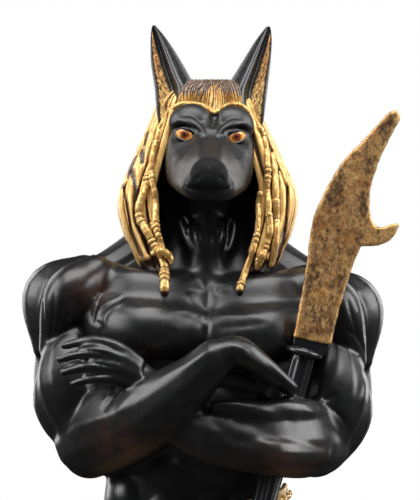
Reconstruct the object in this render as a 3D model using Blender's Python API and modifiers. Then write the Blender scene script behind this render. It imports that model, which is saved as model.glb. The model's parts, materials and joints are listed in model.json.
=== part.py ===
"""Standing statue of Anubis: a jackal-headed man with crossed arms and a war axe, on a low plinth.

Metres, +Z up. The figure faces -Y and the viewer's right is +X. The origin is the middle of the
plinth's underside. Lengths in the shape tables are in units of MM.
"""
import math

import bmesh
import bpy
import numpy as np
from mathutils import Euler, Matrix, Vector

# driving dimensions, in metres
STATUE_HEIGHT = 0.280
PLINTH_WIDTH = 0.086
PLINTH_DEPTH = 0.070
PLINTH_HEIGHT = 0.012
GAP = 0.0003
# one unit of the shape tables: a millimetre on a statue 280 mm tall
MM = STATUE_HEIGHT / 280

# the weapon: its axis passes through the collar ring and leans forward and outward
RING_CENTRE = Vector((24.4, -21.4, 196.8))
SHAFT_LEAN = Vector((0.27, -0.075, 1.0)).normalized()
SHAFT_RADIUS = 3.1
RING_RADIUS = 4.6
SHAFT_BELOW_RING = 54.0
BLADE_THICKNESS = 3.6

# fineness of the casting: voxel that fuses the muscles, rounds of smoothing, share of faces kept
FIGURE_VOXEL = 0.75
FIGURE_SMOOTHING = 5
FIGURE_FACES_KEPT = 0.029

HEAD = (Matrix.Translation((1.6, -4, 250)) @ Matrix.Rotation(math.radians(3), 4, "Y")
        @ Matrix.Rotation(math.radians(0.5), 4, "Z"))
# the skull and jaws in sections along the head's own y: y, height of the top, half width near the top,
# height and half width of the cheek, height and half width of the lip, height of the underside
FACE = [(10, 9.0, 6.0, 1.0, 9.2, -7.0, 7.0, -11.0), (4, 9.6, 7.0, 1.0, 10.6, -8.5, 9.0, -12.6),
        (-3, 9.0, 7.5, 0.5, 10.8, -9.6, 10.2, -13.4), (-8, 6.2, 7.6, -1.5, 10.7, -10.6, 10.2, -13.8),
        (-11.5, 2.8, 6.2, -3.5, 10.2, -11.2, 9.7, -14.2), (-14, 0.0, 4.4, -5.2, 8.9, -12.0, 9.2, -15.0),
        (-19, -2.8, 3.8, -7.6, 7.3, -12.8, 8.4, -16.2), (-25, -5.2, 3.6, -9.6, 6.0, -13.4, 7.5, -17.0),
        (-29.5, -6.6, 3.2, -10.8, 5.0, -14.0, 6.6, -17.3), (-31.5, -8.2, 2.6, -11.8, 4.2, -14.4, 5.4, -17)]
# each ear at its heights: outer edge, inner edge and y of its middle; the viewer's left ear, then the right
LEFT_EAR = [(249, -9.4, -4.5, -8.4), (255.6, -11.5, -3.6, -8.6), (260.0, -12.0, -1.9, -8.2),
            (263.4, -12.3, -1.6, -7.4),
            (266.1, -12.7, -3.1, -6.6), (269.6, -13.2, -5.0, -5.6), (273, -13.4, -7.0, -4.8),
            (276.6, -13.4, -9.4, -4.1),
            (278.8, -13.2, -11.2, -3.8), (280.2, -13.3, -11.9, -3.7)]
RIGHT_EAR = [(249, 13.0, 7.4, -8.4), (254.6, 14.7, 6.8, -8.6), (260.0, 15.4, 5.4, -8.2),
             (263.0, 15.8, 5.2, -7.5),
             (266.4, 16.2, 7.0, -6.6), (270.9, 16.7, 9.7, -5.4), (275.5, 17.0, 12.5, -4.4),
             (278.5, 16.8, 14.7, -3.8),
             (279.6, 16.7, 15.2, -3.7)]
# section across an ear: share of the way from the outer to the inner edge, and depth as a share of the width
EAR_SECTION = [(0.0, 0.06), (0.05, -0.06), (0.13, 0.07), (0.32, 0.13), (0.49, -0.02), (0.62, -0.16),
               (0.80, -0.06),
               (1.0, 0.22), (0.80, 0.45), (0.50, 0.47), (0.20, 0.33)]
# the headdress from the crown down: height, half width, front and back
HEADDRESS = [(265, 7, -6, 8), (261.3, 12.2, -8.5, 14), (255, 14.9, -10, 17), (247, 18.5, -11.5, 18.5),
             (237, 22.4, -12.8, 19.5), (229, 21.4, -14.0, 19.5), (219.4, 17.4, -16.0, 18.5)]
HEADDRESS_STRANDS = 30
# half the angle that it leaves open in front, how square its outline is in front and at the back, its wall
HOOD_OPENING = 14
HOOD_FRONT = 0.38
HOOD_BACK = 0.75
HOOD_THICKNESS = 3.2
KILT_PLEATS = 34


def smooth_rows(rows, steps):
    """Rows on a smooth curve through the given rows, with this many steps from one to the next."""
    rows = np.array(rows, float)
    ends = np.vstack([2 * rows[0] - rows[1], rows, 2 * rows[-1] - rows[-2]])
    curve = []
    for before, start, stop, after in zip(ends, ends[1:], ends[2:], ends[3:]):
        for t in np.arange(steps) / steps:
            curve.append(0.5 * (2 * start + (stop - before) * t
                                + (2 * before - 5 * start + 4 * stop - after) * t * t
                                + (3 * start - before - 3 * stop + after) * t ** 3))
    return np.array(curve + [rows[-1]])


class Clay:
    """Closed shapes heaped up, which a voxel remesh then fuses into one skin."""

    def __init__(self):
        self.solids = bmesh.new()
        self.tubes = bpy.data.curves.new("tubes", "CURVE")
        self.tubes.dimensions = "3D"
        self.tubes.bevel_depth = MM
        self.tubes.bevel_resolution = 4
        self.tubes.use_fill_caps = True

    def ball(self, centre, size, turn=(0, 0, 0), frame=Matrix()):
        """An ellipsoid with these half axes, turned by these degrees."""
        turned = Euler([math.radians(angle) for angle in turn]).to_matrix().to_4x4()
        sized = Matrix.Translation(centre) @ turned @ Matrix.Diagonal((*size, 1))
        place = Matrix.Scale(MM, 4) @ frame @ sized
        bmesh.ops.create_uvsphere(self.solids, u_segments=24, v_segments=16, radius=1, matrix=place)

    def tube(self, points, radii, frame=Matrix(), steps=6):
        """A round muscle, finger or strand through the points, with a radius at each and round ends."""
        rows = smooth_rows([(*point, radius) for point, radius in zip(points, radii)], steps)
        start, stop = rows[0], rows[-1]
        along_start = (rows[0] - rows[1])[:3] / np.linalg.norm((rows[0] - rows[1])[:3])
        along_stop = (rows[-1] - rows[-2])[:3] / np.linalg.norm((rows[-1] - rows[-2])[:3])
        round_end = [(math.cos(math.radians(angle)), math.sin(math.radians(angle)))
                     for angle in (80, 55, 28)]
        head = [(*(start[:3] + along_start * start[3] * out), start[3] * width) for width, out in round_end]
        tail = [(*(stop[:3] + along_stop * stop[3] * out), stop[3] * width)
                for width, out in reversed(round_end)]
        rows = head + [tuple(row) for row in rows] + tail
        spline = self.tubes.splines.new("POLY")
        spline.points.add(len(rows) - 1)
        for point, (x, y, z, radius) in zip(spline.points, rows):
            point.co = (*(frame @ Vector((x, y, z)) * MM), 1)
            point.radius = max(radius, 0.05)

    def loft(self, rings):
        """A skin over closed rings of equal count, with flat ends."""
        rows = [[self.solids.verts.new(Vector(point) * MM) for point in ring] for ring in rings]
        count = len(rows[0])
        for low, high in zip(rows, rows[1:]):
            for k in range(count):
                self.solids.faces.new((low[k], low[(k + 1) % count], high[(k + 1) % count], high[k]))
        self.solids.faces.new(rows[0][::-1])
        self.solids.faces.new(rows[-1])

    def belly(self, points, halves, side, frame=Matrix(), around=24, steps=6):
        """A muscle of oval section through the points; halves are its reach along side and across it."""
        rows = smooth_rows([(*point, *half) for point, half in zip(points, halves)], steps)
        heading = np.gradient(rows[:, :3], axis=0)
        cap = [(math.cos(math.radians(angle)), math.sin(math.radians(angle))) for angle in (78, 52, 26)]
        stations = [(rows[0], heading[0], width, -out) for width, out in cap]
        stations += [(row, way, 1, 0) for row, way in zip(rows, heading)]
        stations += [(rows[-1], heading[-1], width, out) for width, out in reversed(cap)]
        rings = []
        for row, way, width, out in stations:
            way = Vector(way).normalized()
            across = (Vector(side) - Vector(side).dot(way) * way).normalized()
            up = way.cross(across)
            centre = Vector(row[:3]) + way * out * min(row[3], row[4])
            ring = []
            for k in range(around):
                angle = 2 * math.pi * k / around
                point = centre + across * row[3] * width * math.cos(angle)
                point += up * row[4] * width * math.sin(angle)
                ring.append(frame @ point)
            rings.append(ring)
        self.loft(rings)

    def stack(self, sections, squareness, around=48, ripples=0, ripple_depth=0.0):
        """A loft of level sections: height, middle x and y, half width, half depth."""
        rings = []
        for z, x, y, half_width, half_depth in smooth_rows(sections, 5):
            ring = []
            for k in range(around):
                angle = 2 * math.pi * k / around
                reach = 1 + ripple_depth * math.cos(ripples * angle)
                c, s = math.cos(angle), math.sin(angle)
                ring.append((x + half_width * reach * math.copysign(abs(c) ** (2 / squareness), c),
                             y + half_depth * reach * math.copysign(abs(s) ** (2 / squareness), s), z))
            rings.append(ring)
        self.loft(rings)

    def heap(self, name):
        """All the shapes as one mesh, still overlapping."""
        carrier = bpy.data.objects.new("tubes", self.tubes)
        bpy.context.scene.collection.objects.link(carrier)
        graph = bpy.context.evaluated_depsgraph_get()
        rods = bpy.data.meshes.new_from_object(carrier.evaluated_get(graph))
        self.solids.from_mesh(rods)
        bpy.data.objects.remove(carrier)
        mesh = bpy.data.meshes.new(name)
        self.solids.to_mesh(mesh)
        self.solids.free()
        return mesh


def torso(clay):
    clay.stack([(136, -2, 1, 22, 17), (150, -2.8, 1, 22.5, 16), (160, -3, 0.5, 22, 15),
                (168, -2.6, 0, 21.6, 14.5), (176, -2, 0, 22.5, 15), (186, -1, 0.5, 25, 15.5),
                (196, 0, 1.5, 28, 16.5), (206, 0.3, 2, 30, 17), (214, 0.4, 3, 28, 15.5),
                (221, 0.5, 4, 19, 13), (228, 1, 3.5, 11.5, 11)], squareness=2.3)
    clay.ball((0.2, 8, 204), (25, 10.5, 19))
    for s, frame in ((-1, Matrix()), (1, Matrix.Translation((0, 0, -1)))):
        # chest
        clay.belly([(s * 3.4, -16.6, 202.5), (s * 13, -17.6, 202.3), (s * 22, -14, 204), (s * 30, -7, 208)],
                   [(6.4, 4.6), (7.4, 6.2), (7.0, 5.2), (5, 4)], side=(0, 0, 1), frame=frame)
        clay.belly([(s * 4, -13.8, 210.5), (s * 16, -13.2, 211), (s * 28, -5, 214)],
                   [(6.0, 4.0), (7.0, 4.2), (5.5, 5)], side=(0, 0, 1), frame=frame)
        # collar bone, slope of the neck, shoulder blade
        clay.tube([(s * 3.0, -14.2, 214.2), (s * 10, -13.2, 215.4), (s * 22, -8.4, 219.0),
                   (s * 31, -3, 219.5)],
                  [1.2, 0.9, 1.2, 2.0], frame)
        clay.tube([(s * 3, 3, 237), (s * 10, 5, 226.3), (s * 22, 4, 218.2), (s * 32, 2, 214)],
                  [7, 8, 6.8, 6], frame)
        clay.tube([(s * 6, 9, 222), (s * 11, 10.5, 205), (s * 4, 11, 185)], [8.5, 9.5, 6], frame)
        clay.ball((s * 19, 10, 208), (9.5, 7.5, 12), turn=(0, s * 22, 0), frame=frame)
        # side of the back, ribs and flank
        clay.tube([(s * 26, 7, 208), (s * 25.5, 6.5, 194), (s * 20, 6, 176)], [8, 8, 6])
        clay.tube([(s * 20 - 1, -6, 192), (s * 19 - 2, -7, 180)], [5.5, 4.5])
        clay.ball((-2.8 + s * 14.6, -3, 162), (7.0, 9.5, 9))
        # belly in its blocks, and the columns beside the spine
        for height, half_height in ((186, 5.0), (177, 4.6), (168.5, 4.4)):
            clay.ball((-2.4 + s * 5.6, -11.4, height), (5.9, 4.2, half_height))
        clay.ball((-2.9 + s * 5.2, -12.0, 156), (6.4, 4.2, 8.5))
        clay.tube([(s * 5, 12, 190), (s * 5 - 2, 11.2, 172), (s * 5 - 2.5, 8.5, 156)], [6, 5.5, 4.5])


def neck(clay):
    clay.tube([(0.6, 2.5, 215), (0.8, 2.2, 230), (1.3, 1.5, 246)], [12.5, 10.0, 9.6])
    clay.tube([(0.8, -1.5, 232), (0.8, -4.5, 224), (0.7, -6.5, 216)], [6.0, 6.5, 7.0])


def upper_arm(clay, s, frame):
    # shoulder: core, then its front, middle and rear heads
    clay.ball((s * 33.8, 0, 209), (9.8, 12, 12.8), frame=frame)
    clay.tube([(s * 27, -9, 217), (s * 33.6, -11.3, 211), (s * 38.6, -8, 198.5)], [5.0, 6.4, 2.4], frame)
    clay.tube([(s * 30, -1, 217.3), (s * 38.6, -2, 212), (s * 40.4, -3.5, 198.5)], [5.4, 6.9, 2.2], frame)
    clay.tube([(s * 28, 9, 215), (s * 37, 8, 208.5), (s * 39.5, 3, 198)], [5.8, 6.9, 3.0], frame)
    # biceps, triceps and the muscle between them
    clay.tube([(s * 33.4, -8, 203), (s * 33.2, -10.5, 190), (s * 29, -9, 177)], [4.5, 8.2, 5.5], frame)
    clay.tube([(s * 36.5, 3, 203), (s * 35.2, 5.5, 189), (s * 29, 3, 176)], [5, 7.4, 6], frame)
    clay.tube([(s * 37.4, -1, 198), (s * 38.2, -2.5, 188), (s * 36.4, -3, 181.5), (s * 31, -3, 175)],
              [2.6, 4.4, 4.5, 4.2], frame)


def upper_forearm(clay):
    """The figure's right forearm lies on top; its hand bends down over the other arm."""
    clay.ball((-28.3, -1, 174.2), (7.4, 7.5, 7.6))
    clay.tube([(-28.0, -5, 176), (-22.5, -13, 178.8), (-13.5, -24, 181.9), (-3.5, -32, 188.8),
               (2.5, -36, 194.4)],
              [9.2, 10.8, 9.4, 6.4, 5.0])
    clay.tube([(-31, -9, 181), (-24, -19, 184.2), (-14, -29.2, 186.2)], [3.5, 4.4, 2.4])
    # back of the hand, then the fingers side by side
    clay.belly([(2.5, -35.5, 194.2), (7.5, -35.4, 196.4), (12, -34, 194.2), (17, -31.4, 190)],
               [(4.4, 4.6), (3.8, 5.6), (3.2, 5.8), (2.4, 4.8)], side=(0.5, 0, 1))
    for k in range(4):
        y = -38.0 + 3.1 * k
        clay.tube([(10.5, y, 196.6 - 0.5 * k), (15.5, y + 1.6, 192.6 - 0.5 * k),
                   (21.3, y + 4.2, 187.8 - 0.3 * k)],
                  [2.1, 1.9, 1.4])
    clay.tube([(2, -32, 190.5), (8, -30.5, 189.5), (14, -28.5, 187.5)], [2.8, 2.2, 1.7])


def lower_forearm(clay):
    """The figure's left forearm passes beneath; its hand lies on the right upper arm."""
    clay.ball((27.6, -1, 173.7), (7, 7.5, 6.8))
    clay.tube([(28.0, -6, 175.9), (22.3, -17, 175.6), (11.5, -25, 175.6), (-1.75, -26.5, 178),
               (-12, -25.5, 185.5)],
              [8.6, 9.4, 8.2, 6.6, 4.8])
    clay.tube([(32, -9, 181.5), (24, -22, 182.2), (12, -30.5, 182.4), (3, -32, 183.2)],
              [2.6, 3.8, 3.0, 1.6])
    clay.tube([(28, -20, 172.5), (17, -29, 172.4), (4, -31.5, 175)], [3.0, 4.2, 2.0])
    # wrist, palm and fingers
    clay.belly([(-11, -26, 186.5), (-16, -26, 190.2), (-20, -26, 192.6)],
               [(4.2, 3.6), (4.4, 2.4), (4.0, 1.6)],
               side=(0.5, 0, 1))
    fingers = [[(-15.5, -28, 194.2), (-20.5, -28.6, 197.6), (-27, -27.2, 199.4), (-34, -22.4, 198.4)],
               [(-16, -28.8, 192.6), (-20.5, -29.4, 195.2), (-27.5, -28.6, 196.6), (-35, -23.4, 195.0)],
               [(-16, -29, 190.8), (-20.5, -29.6, 192.6), (-27.5, -29, 193.2), (-34, -25, 191.8)],
               [(-16, -28.6, 189), (-21, -29, 190), (-27, -29, 190.2), (-31.5, -27, 188.9)]]
    for finger in fingers:
        clay.tube(finger, [1.5, 1.6, 1.45, 1.1])


def smooth_ring(points, steps):
    """A closed smooth curve through the points."""
    looped = [points[-1]] + list(points) + [points[0], points[1]]
    rows = smooth_rows(looped, steps)
    return rows[steps:-steps - 1]


def head(clay):
    rings = []
    for y, top, top_half, cheek, cheek_half, lip, lip_half, bottom in smooth_rows(FACE, 2):
        right = [(0, top), (top_half * 0.6, top - 0.05 * (top - cheek)),
                 (top_half, top - 0.3 * (top - cheek)),
                 (cheek_half, cheek), (lip_half, lip), (lip_half * 0.6, bottom + 0.12 * (lip - bottom)),
                 (0, bottom)]
        outline = right + [(-x, z) for x, z in right[-2:0:-1]]
        rings.append([HEAD @ Vector((x, y, z)) for x, z in smooth_ring(outline, 2)])
    clay.loft(rings)
    clay.ball((0, 2, -0.5), (10.2, 12.5, 10.2), frame=HEAD)
    # nose pad
    clay.belly([(0, -28.5, -11.1), (0, -32.2, -11.2)], [(4.7, 3.7), (4.6, 3.5)], side=(1, 0, 0), frame=HEAD)
    for s in (-1, 1):
        # forehead, brow, eye and cheek bone
        clay.ball((s * 5.1, -6.6, 4.0), (5.6, 4.0, 5.0), frame=HEAD)
        clay.tube([(s * 9.8, -5.2, 3.0), (s * 8.6, -7.8, 4.3), (s * 5.8, -10.2, 3.9), (s * 3.4, -11.9, 2.2),
                   (s * 1.9, -12.9, 0.3)], [0.9, 1.3, 1.5, 1.3, 0.8], frame=HEAD)
        clay.ball((s * 6.4, -10.6, 0.9), (2.4, 1.4, 1.6), frame=HEAD)
        clay.ball((s * 7.4, -7.6, -4.4), (2.9, 3.4, 4.4), frame=HEAD)



def ears(clay):
    """Tall cups in level sections: an outer rim, a hollow and a thick rolled inner edge."""
    for ear in (LEFT_EAR, RIGHT_EAR):
        rings = []
        for z, outer, inner, y in smooth_rows(ear, 2):
            width = inner - outer
            ring = [(outer + share * width, y + depth * abs(width), z) for share, depth in EAR_SECTION]
            rings.append([tuple(point) for point in smooth_ring(ring, 2)])
        clay.loft(rings)


def hood_rings(rows, shares, inset):
    """The headdress's outline at these heights, from its left front edge round the back to its right one,
    cut at these shares of its length and moved inward."""
    limit = math.radians(180 - HOOD_OPENING)
    angle = np.linspace(-limit, limit, 1600)
    side, rear = np.sin(angle), np.cos(angle)
    power = np.where(rear < 0, HOOD_FRONT, HOOD_BACK)
    rings = []
    for z, half_width, front, back in rows:
        x = 0.9 + half_width * np.sign(side) * np.abs(side) ** power
        y = (front + back) / 2 + (back - front) / 2 * np.sign(rear) * np.abs(rear) ** power
        walked = np.concatenate([[0], np.cumsum(np.hypot(np.diff(x), np.diff(y)))])
        at = shares * walked[-1]
        reach = 0.02 * half_width + 0.4
        way_x = np.interp(at + reach, walked, x) - np.interp(at - reach, walked, x)
        way_y = np.interp(at + reach, walked, y) - np.interp(at - reach, walked, y)
        size = np.hypot(way_x, way_y)
        rings.append(np.stack([np.interp(at, walked, x) + inset * way_y / size,
                               np.interp(at, walked, y) - inset * way_x / size, z + 0 * at], axis=1))
    return rings


def headdress(clay):
    """A striped cloth that falls in strands from the brow round the back, down to the shoulders."""
    rows = smooth_rows(HEADDRESS, 4)
    cuts_per_strand = 6
    shares = np.arange(HEADDRESS_STRANDS * cuts_per_strand + 1) / (HEADDRESS_STRANDS * cuts_per_strand)
    groove = 0.5 + 0.5 * np.cos(2 * math.pi * HEADDRESS_STRANDS * shares)
    outer = hood_rings(rows, shares, 0.1 + 0.9 * groove ** 2)
    back_way = np.linspace(1, 0, 60)
    inner = hood_rings(rows, back_way, np.full(len(back_way), HOOD_THICKNESS))
    clay.loft([[*out, *lining] for out, lining in zip(outer, inner)])
    # what fills the hood behind the neck
    clay.stack([(217, 0.8, 6, 12, 8), (229, 0.8, 6, 17, 10.5), (240, 0.8, 6, 16.5, 10), (250, 1, 5, 13, 9),
                (258, 1.2, 4, 10, 8)], squareness=2.2)
    # band over the forehead with its peak, and the fur above it
    band = [(-11.1, -9.6, 252.4), (-10.1, -11.0, 255.3), (-6.7, -12.0, 258.9), (-2.4, -12.4, 259.5),
            (1.2, -12.8, 258.1), (2.8, -13.0, 256.9), (4.2, -12.8, 258.1), (7.3, -12.4, 259.4),
            (11.3, -11.6, 257.2), (14.4, -10.0, 252.8)]
    clay.tube(band, [0.9] * len(band))
    clay.ball((2.0, -4.6, 258.6), (8.6, 7.0, 6.6))
    # loose cords in front
    clay.tube([(-11.3, -10.6, 252.5), (-12.9, -12.2, 243), (-12.0, -13.8, 234), (-11.5, -14.9, 227)],
              [1.1, 1.2, 1.2, 1.1])
    clay.tube([(-14.2, -13, 241.5), (-15.9, -14.6, 233), (-13.6, -16, 226.2), (-10.2, -17, 222),
               (-8.3, -17.2, 219.4)],
              [1.1, 1.3, 1.3, 1.2, 0.9])
    clay.tube([(-11.2, -16.4, 222), (-9.7, -17.2, 217), (-9.6, -17.8, 211.4)], [1.0, 1.3, 1.3])
    clay.tube([(14.4, -11, 252.5), (15.7, -12.4, 243), (15.8, -13.9, 235), (16.2, -15.2, 227),
               (14, -16.4, 221),
               (12.9, -17, 218)], [1.0, 1.1, 1.2, 1.2, 1.5, 0.9])
    clay.tube([(13.9, -14.2, 237), (13.4, -15.6, 229.5), (11.4, -16.9, 220.5), (8.7, -17.9, 211.7)],
              [1.0, 1.1, 1.1, 1.2])


def kilt(clay):
    """A pleated kilt with a belt that dips in front, and a stiff panel down its middle."""
    clay.stack([(160, -2.9, 0.5, 22.4, 16.0), (152, -2.8, 0.5, 24.4, 18.2), (140, -2.2, 0.5, 27, 20.2),
                (120, -1.2, 0.5, 29.5, 21.8), (103, -0.4, 0.5, 31, 23), (97, 0, 0.5, 31.4, 23.4)],
               squareness=2.2, around=4 * KILT_PLEATS, ripples=KILT_PLEATS, ripple_depth=0.022)
    belt = []
    for k in range(41):
        angle = 2 * math.pi * k / 40
        x = -2.8 + 23.2 * math.cos(angle)
        belt.append((x, 0.5 + 17.4 * math.sin(angle),
                     156 + 0.1 * (x + 3) + 4.5 * (1 - abs(math.sin(angle)))))
    clay.tube(belt, [2.2] * len(belt), steps=1)
    clay.stack([(158, -2.6, -14.5, 4.6, 3.2), (140, -2.2, -18.4, 6, 3.2), (120, -1.2, -20.4, 7.5, 3.2),
                (100, -0.2, -22.4, 9, 3.2)], squareness=5)


def legs(clay):
    """Strong bare legs, a little apart, with their feet turned out."""
    for s in (-1, 1):
        clay.belly([(s * 11 - 1, 1, 136), (s * 14 - 0.5, -1, 114), (s * 15.5, -1, 92), (s * 16, -1.5, 80)],
                   [(12.5, 15), (12.6, 14.4), (10.6, 11.5), (8.8, 9)], side=(1, 0, 0))
        clay.tube([(s * 20, -5, 108), (s * 19.6, -7, 95), (s * 18, -6.5, 86)], [5.5, 5.4, 3.0])
        clay.tube([(s * 13, -6, 104), (s * 12.4, -7.5, 92), (s * 13.2, -6.5, 85)], [5, 4.6, 3.2])
        clay.ball((s * 16, -7.2, 80.5), (5.0, 3.8, 5.6))
        clay.tube([(s * 16, 0, 78), (s * 16.6, 2.6, 62), (s * 17, 2.5, 42), (s * 17.2, 2.5, 22)],
                  [8.4, 9.2, 6.6, 5.4])
        clay.tube([(s * 12.2, 2.5, 74), (s * 11.4, 5.5, 61), (s * 14.6, 3.5, 44)], [4.2, 6.0, 2.8])
        clay.tube([(s * 20.6, 2.5, 74), (s * 21.8, 4, 63), (s * 19.2, 3, 45)], [4.0, 5.2, 2.8])
        clay.tube([(s * 16, -7.5, 74), (s * 16.2, -5.4, 50), (s * 17, -2.6, 26)], [2.8, 2.8, 2.2])
        # foot, ankle bones and toes
        clay.belly([(s * 16.8, 9.5, 18), (s * 17.3, 1, 20), (s * 18.4, -11, 17.4), (s * 19.6, -20, 15)],
                   [(5.4, 6.0), (6.2, 8.0), (7.6, 5.4), (8.2, 3.2)], side=(1, 0, 0))
        for side in (-1, 1):
            clay.ball((s * 17.2 + side * 4.7, 3, 24), (2.4, 2.8, 2.8))
        for k, radius in enumerate((2.8, 2.2, 2.0, 1.9, 1.8)):
            x, y = s * (14.2 + 3.0 * k), -25.5 + 1.5 * k
            clay.tube([(x - s * 0.6, y + 6, 15.0), (x, y, 14.4)], [radius, radius], steps=2)


def cast(name, clay, voxel, smoothing, faces_kept, collection):
    """The heap as one object: fused, softened and thinned."""
    piece = bpy.data.objects.new(name, clay.heap(name))
    collection.objects.link(piece)
    fuse = piece.modifiers.new("fuse", "REMESH")
    fuse.mode = "VOXEL"
    fuse.voxel_size = voxel * MM
    soften = piece.modifiers.new("soften", "SMOOTH")
    soften.iterations = smoothing
    thin = piece.modifiers.new("thin", "DECIMATE")
    thin.ratio = faces_kept
    return piece


def difference(piece, cutter):
    cut = piece.modifiers.new("cut by " + cutter.name, "BOOLEAN")
    cut.operation = "DIFFERENCE"
    cut.object = cutter


def as_mesh(piece, collection):
    """A mesh object in place of this one, with its modifiers applied and its seams welded."""
    graph = bpy.context.evaluated_depsgraph_get()
    mesh = bpy.data.meshes.new_from_object(piece.evaluated_get(graph))
    welded = bmesh.new()
    welded.from_mesh(mesh)
    bmesh.ops.remove_doubles(welded, verts=welded.verts, dist=1e-6)
    bmesh.ops.recalc_face_normals(welded, faces=welded.faces)
    welded.to_mesh(mesh)
    welded.free()
    name = piece.name
    bpy.data.objects.remove(piece)
    solid = bpy.data.objects.new(name, mesh)
    collection.objects.link(solid)
    return solid


def axe_pose():
    """Where the weapon's own frame lies: its origin at the ring, Z up the shaft."""
    across = Vector((0, 1, 0)).cross(SHAFT_LEAN).normalized()
    turned = Matrix((across, SHAFT_LEAN.cross(across), SHAFT_LEAN)).transposed().to_4x4()
    return Matrix.Translation(RING_CENTRE * MM) @ turned


def axe_rod(name, grow, collection):
    """Shaft, end cap and collar ring as one turned profile, grown outward by a distance."""
    cap = -SHAFT_BELOW_RING
    profile = [(3.2, 1.8), (3.4, 1.4), (RING_RADIUS - 0.5, 1.1), (RING_RADIUS, 0),
               (RING_RADIUS - 0.5, -1.1),
               (SHAFT_RADIUS + 0.4, -1.8), (SHAFT_RADIUS, -3), (SHAFT_RADIUS, cap + 4),
               (SHAFT_RADIUS + 1.1, cap + 3), (SHAFT_RADIUS + 1.5, cap), (SHAFT_RADIUS - 0.4, cap - 3.4)]
    top, bottom = profile[0][1] + grow, profile[-1][1] - 0.6 - grow
    points = [(0, top), (profile[0][0] + grow, top)]
    points += [(radius + grow, z) for radius, z in profile[1:]]
    points += [(0, bottom)]
    mesh = bpy.data.meshes.new(name)
    edges = [(k, k + 1) for k in range(len(points) - 1)]
    mesh.from_pydata([(radius * MM, 0, z * MM) for radius, z in points], edges, [])
    rod = bpy.data.objects.new(name, mesh)
    collection.objects.link(rod)
    turn = rod.modifiers.new("turn", "SCREW")
    turn.steps = turn.render_steps = 16
    turn.use_merge_vertices = True
    turn.merge_threshold = 0.00001
    return as_mesh(rod, collection)


def blade_outline():
    """The blade in the weapon's own frame, X across and Y up the shaft, counter-clockwise from its foot."""
    # the long swept back edge, from the socket on the ring to the tip
    back = [(-3.3, 0.4), (-3.5, 2.9), (-4.5, 17), (-6.1, 29), (-5.9, 36), (-3.2, 46.8), (0.4, 53.5),
            (4.8, 61.9)]
    tip = [(4.8, 61.9), (6.4, 62.8), (7.8, 61.2)]
    # the concave front edge from the tip down into the hook
    front = [(7.8, 61.2), (5.7, 51), (5.3, 42.5), (7.0, 36.4), (9.6, 34.2), (13.2, 36.1)]
    hook = [(13.2, 36.1), (14.3, 35.8), (13.1, 31.9), (10.4, 29.9), (6.6, 28.7)]
    side = [(6.6, 28.7), (5.9, 22.5), (5.5, 12.9), (5.6, 3.5), (5.3, 0.4)]
    points = []
    for stretch in (back, tip, front, hook, side):
        points += [tuple(row) for row in smooth_rows(stretch, 3)[:-1]]
    return points + [side[-1]]


def blade_plate(name, grow, collection):
    """The flat blade, upright in the weapon's place, grown outward by a distance."""
    outline = bpy.data.curves.new(name, "CURVE")
    outline.dimensions = "2D"
    outline.fill_mode = "BOTH"
    outline.extrude = (BLADE_THICKNESS / 2 + grow) * MM
    outline.offset = grow * MM
    spline = outline.splines.new("POLY")
    points = blade_outline()
    spline.points.add(len(points) - 1)
    for point, (x, y) in zip(spline.points, points):
        point.co = (x * MM, y * MM, 0, 1)
    spline.use_cyclic_u = True
    flat = bpy.data.objects.new(name, outline)
    collection.objects.link(flat)
    blade = as_mesh(flat, collection)
    blade.matrix_world = axe_pose() @ Matrix.Rotation(math.radians(90), 4, "X")
    return blade


def war_axe(collection, cutters):
    """A flat hooked blade on a turned shaft."""
    axe = axe_rod("war_axe", 0, collection)
    axe.matrix_world = axe_pose()
    join = axe.modifiers.new("join", "BOOLEAN")
    join.operation = "UNION"
    join.object = as_cutter(blade_plate("blade", 0, cutters))
    return axe


def floor_block(collection):
    """What lies below the soles, taken away so that the feet end flat."""
    mesh = bpy.data.meshes.new("ground")
    block = bmesh.new()
    bmesh.ops.create_cube(block, size=1)
    block.to_mesh(mesh)
    block.free()
    depth = 0.02
    mesh.transform(Matrix.Translation((0, 0, PLINTH_HEIGHT + GAP - depth / 2))
                   @ Matrix.Diagonal((2 * PLINTH_WIDTH, 2 * PLINTH_DEPTH, depth, 1)))
    ground = bpy.data.objects.new("ground", mesh)
    collection.objects.link(ground)
    return ground


def plinth(collection):
    mesh = bpy.data.meshes.new("plinth")
    block = bmesh.new()
    bmesh.ops.create_cube(block, size=1)
    block.to_mesh(mesh)
    block.free()
    mesh.transform(Matrix.Translation((0, 0, PLINTH_HEIGHT / 2))
                   @ Matrix.Diagonal((PLINTH_WIDTH, PLINTH_DEPTH, PLINTH_HEIGHT, 1)))
    base = bpy.data.objects.new("plinth", mesh)
    collection.objects.link(base)
    edge = base.modifiers.new("edge", "BEVEL")
    edge.width = 2 * MM
    edge.segments = 3
    return base


def paint(piece, name, colour, roughness, metallic):
    material = bpy.data.materials.new(name)
    material.use_nodes = True
    surface = material.node_tree.nodes["Principled BSDF"]
    surface.inputs["Base Color"].default_value = (*colour, 1)
    surface.inputs["Roughness"].default_value = roughness
    surface.inputs["Metallic"].default_value = metallic
    piece.data.materials.clear()
    piece.data.materials.append(material)


def as_cutter(piece):
    piece.hide_render = True
    piece.display_type = "WIRE"
    return piece


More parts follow.
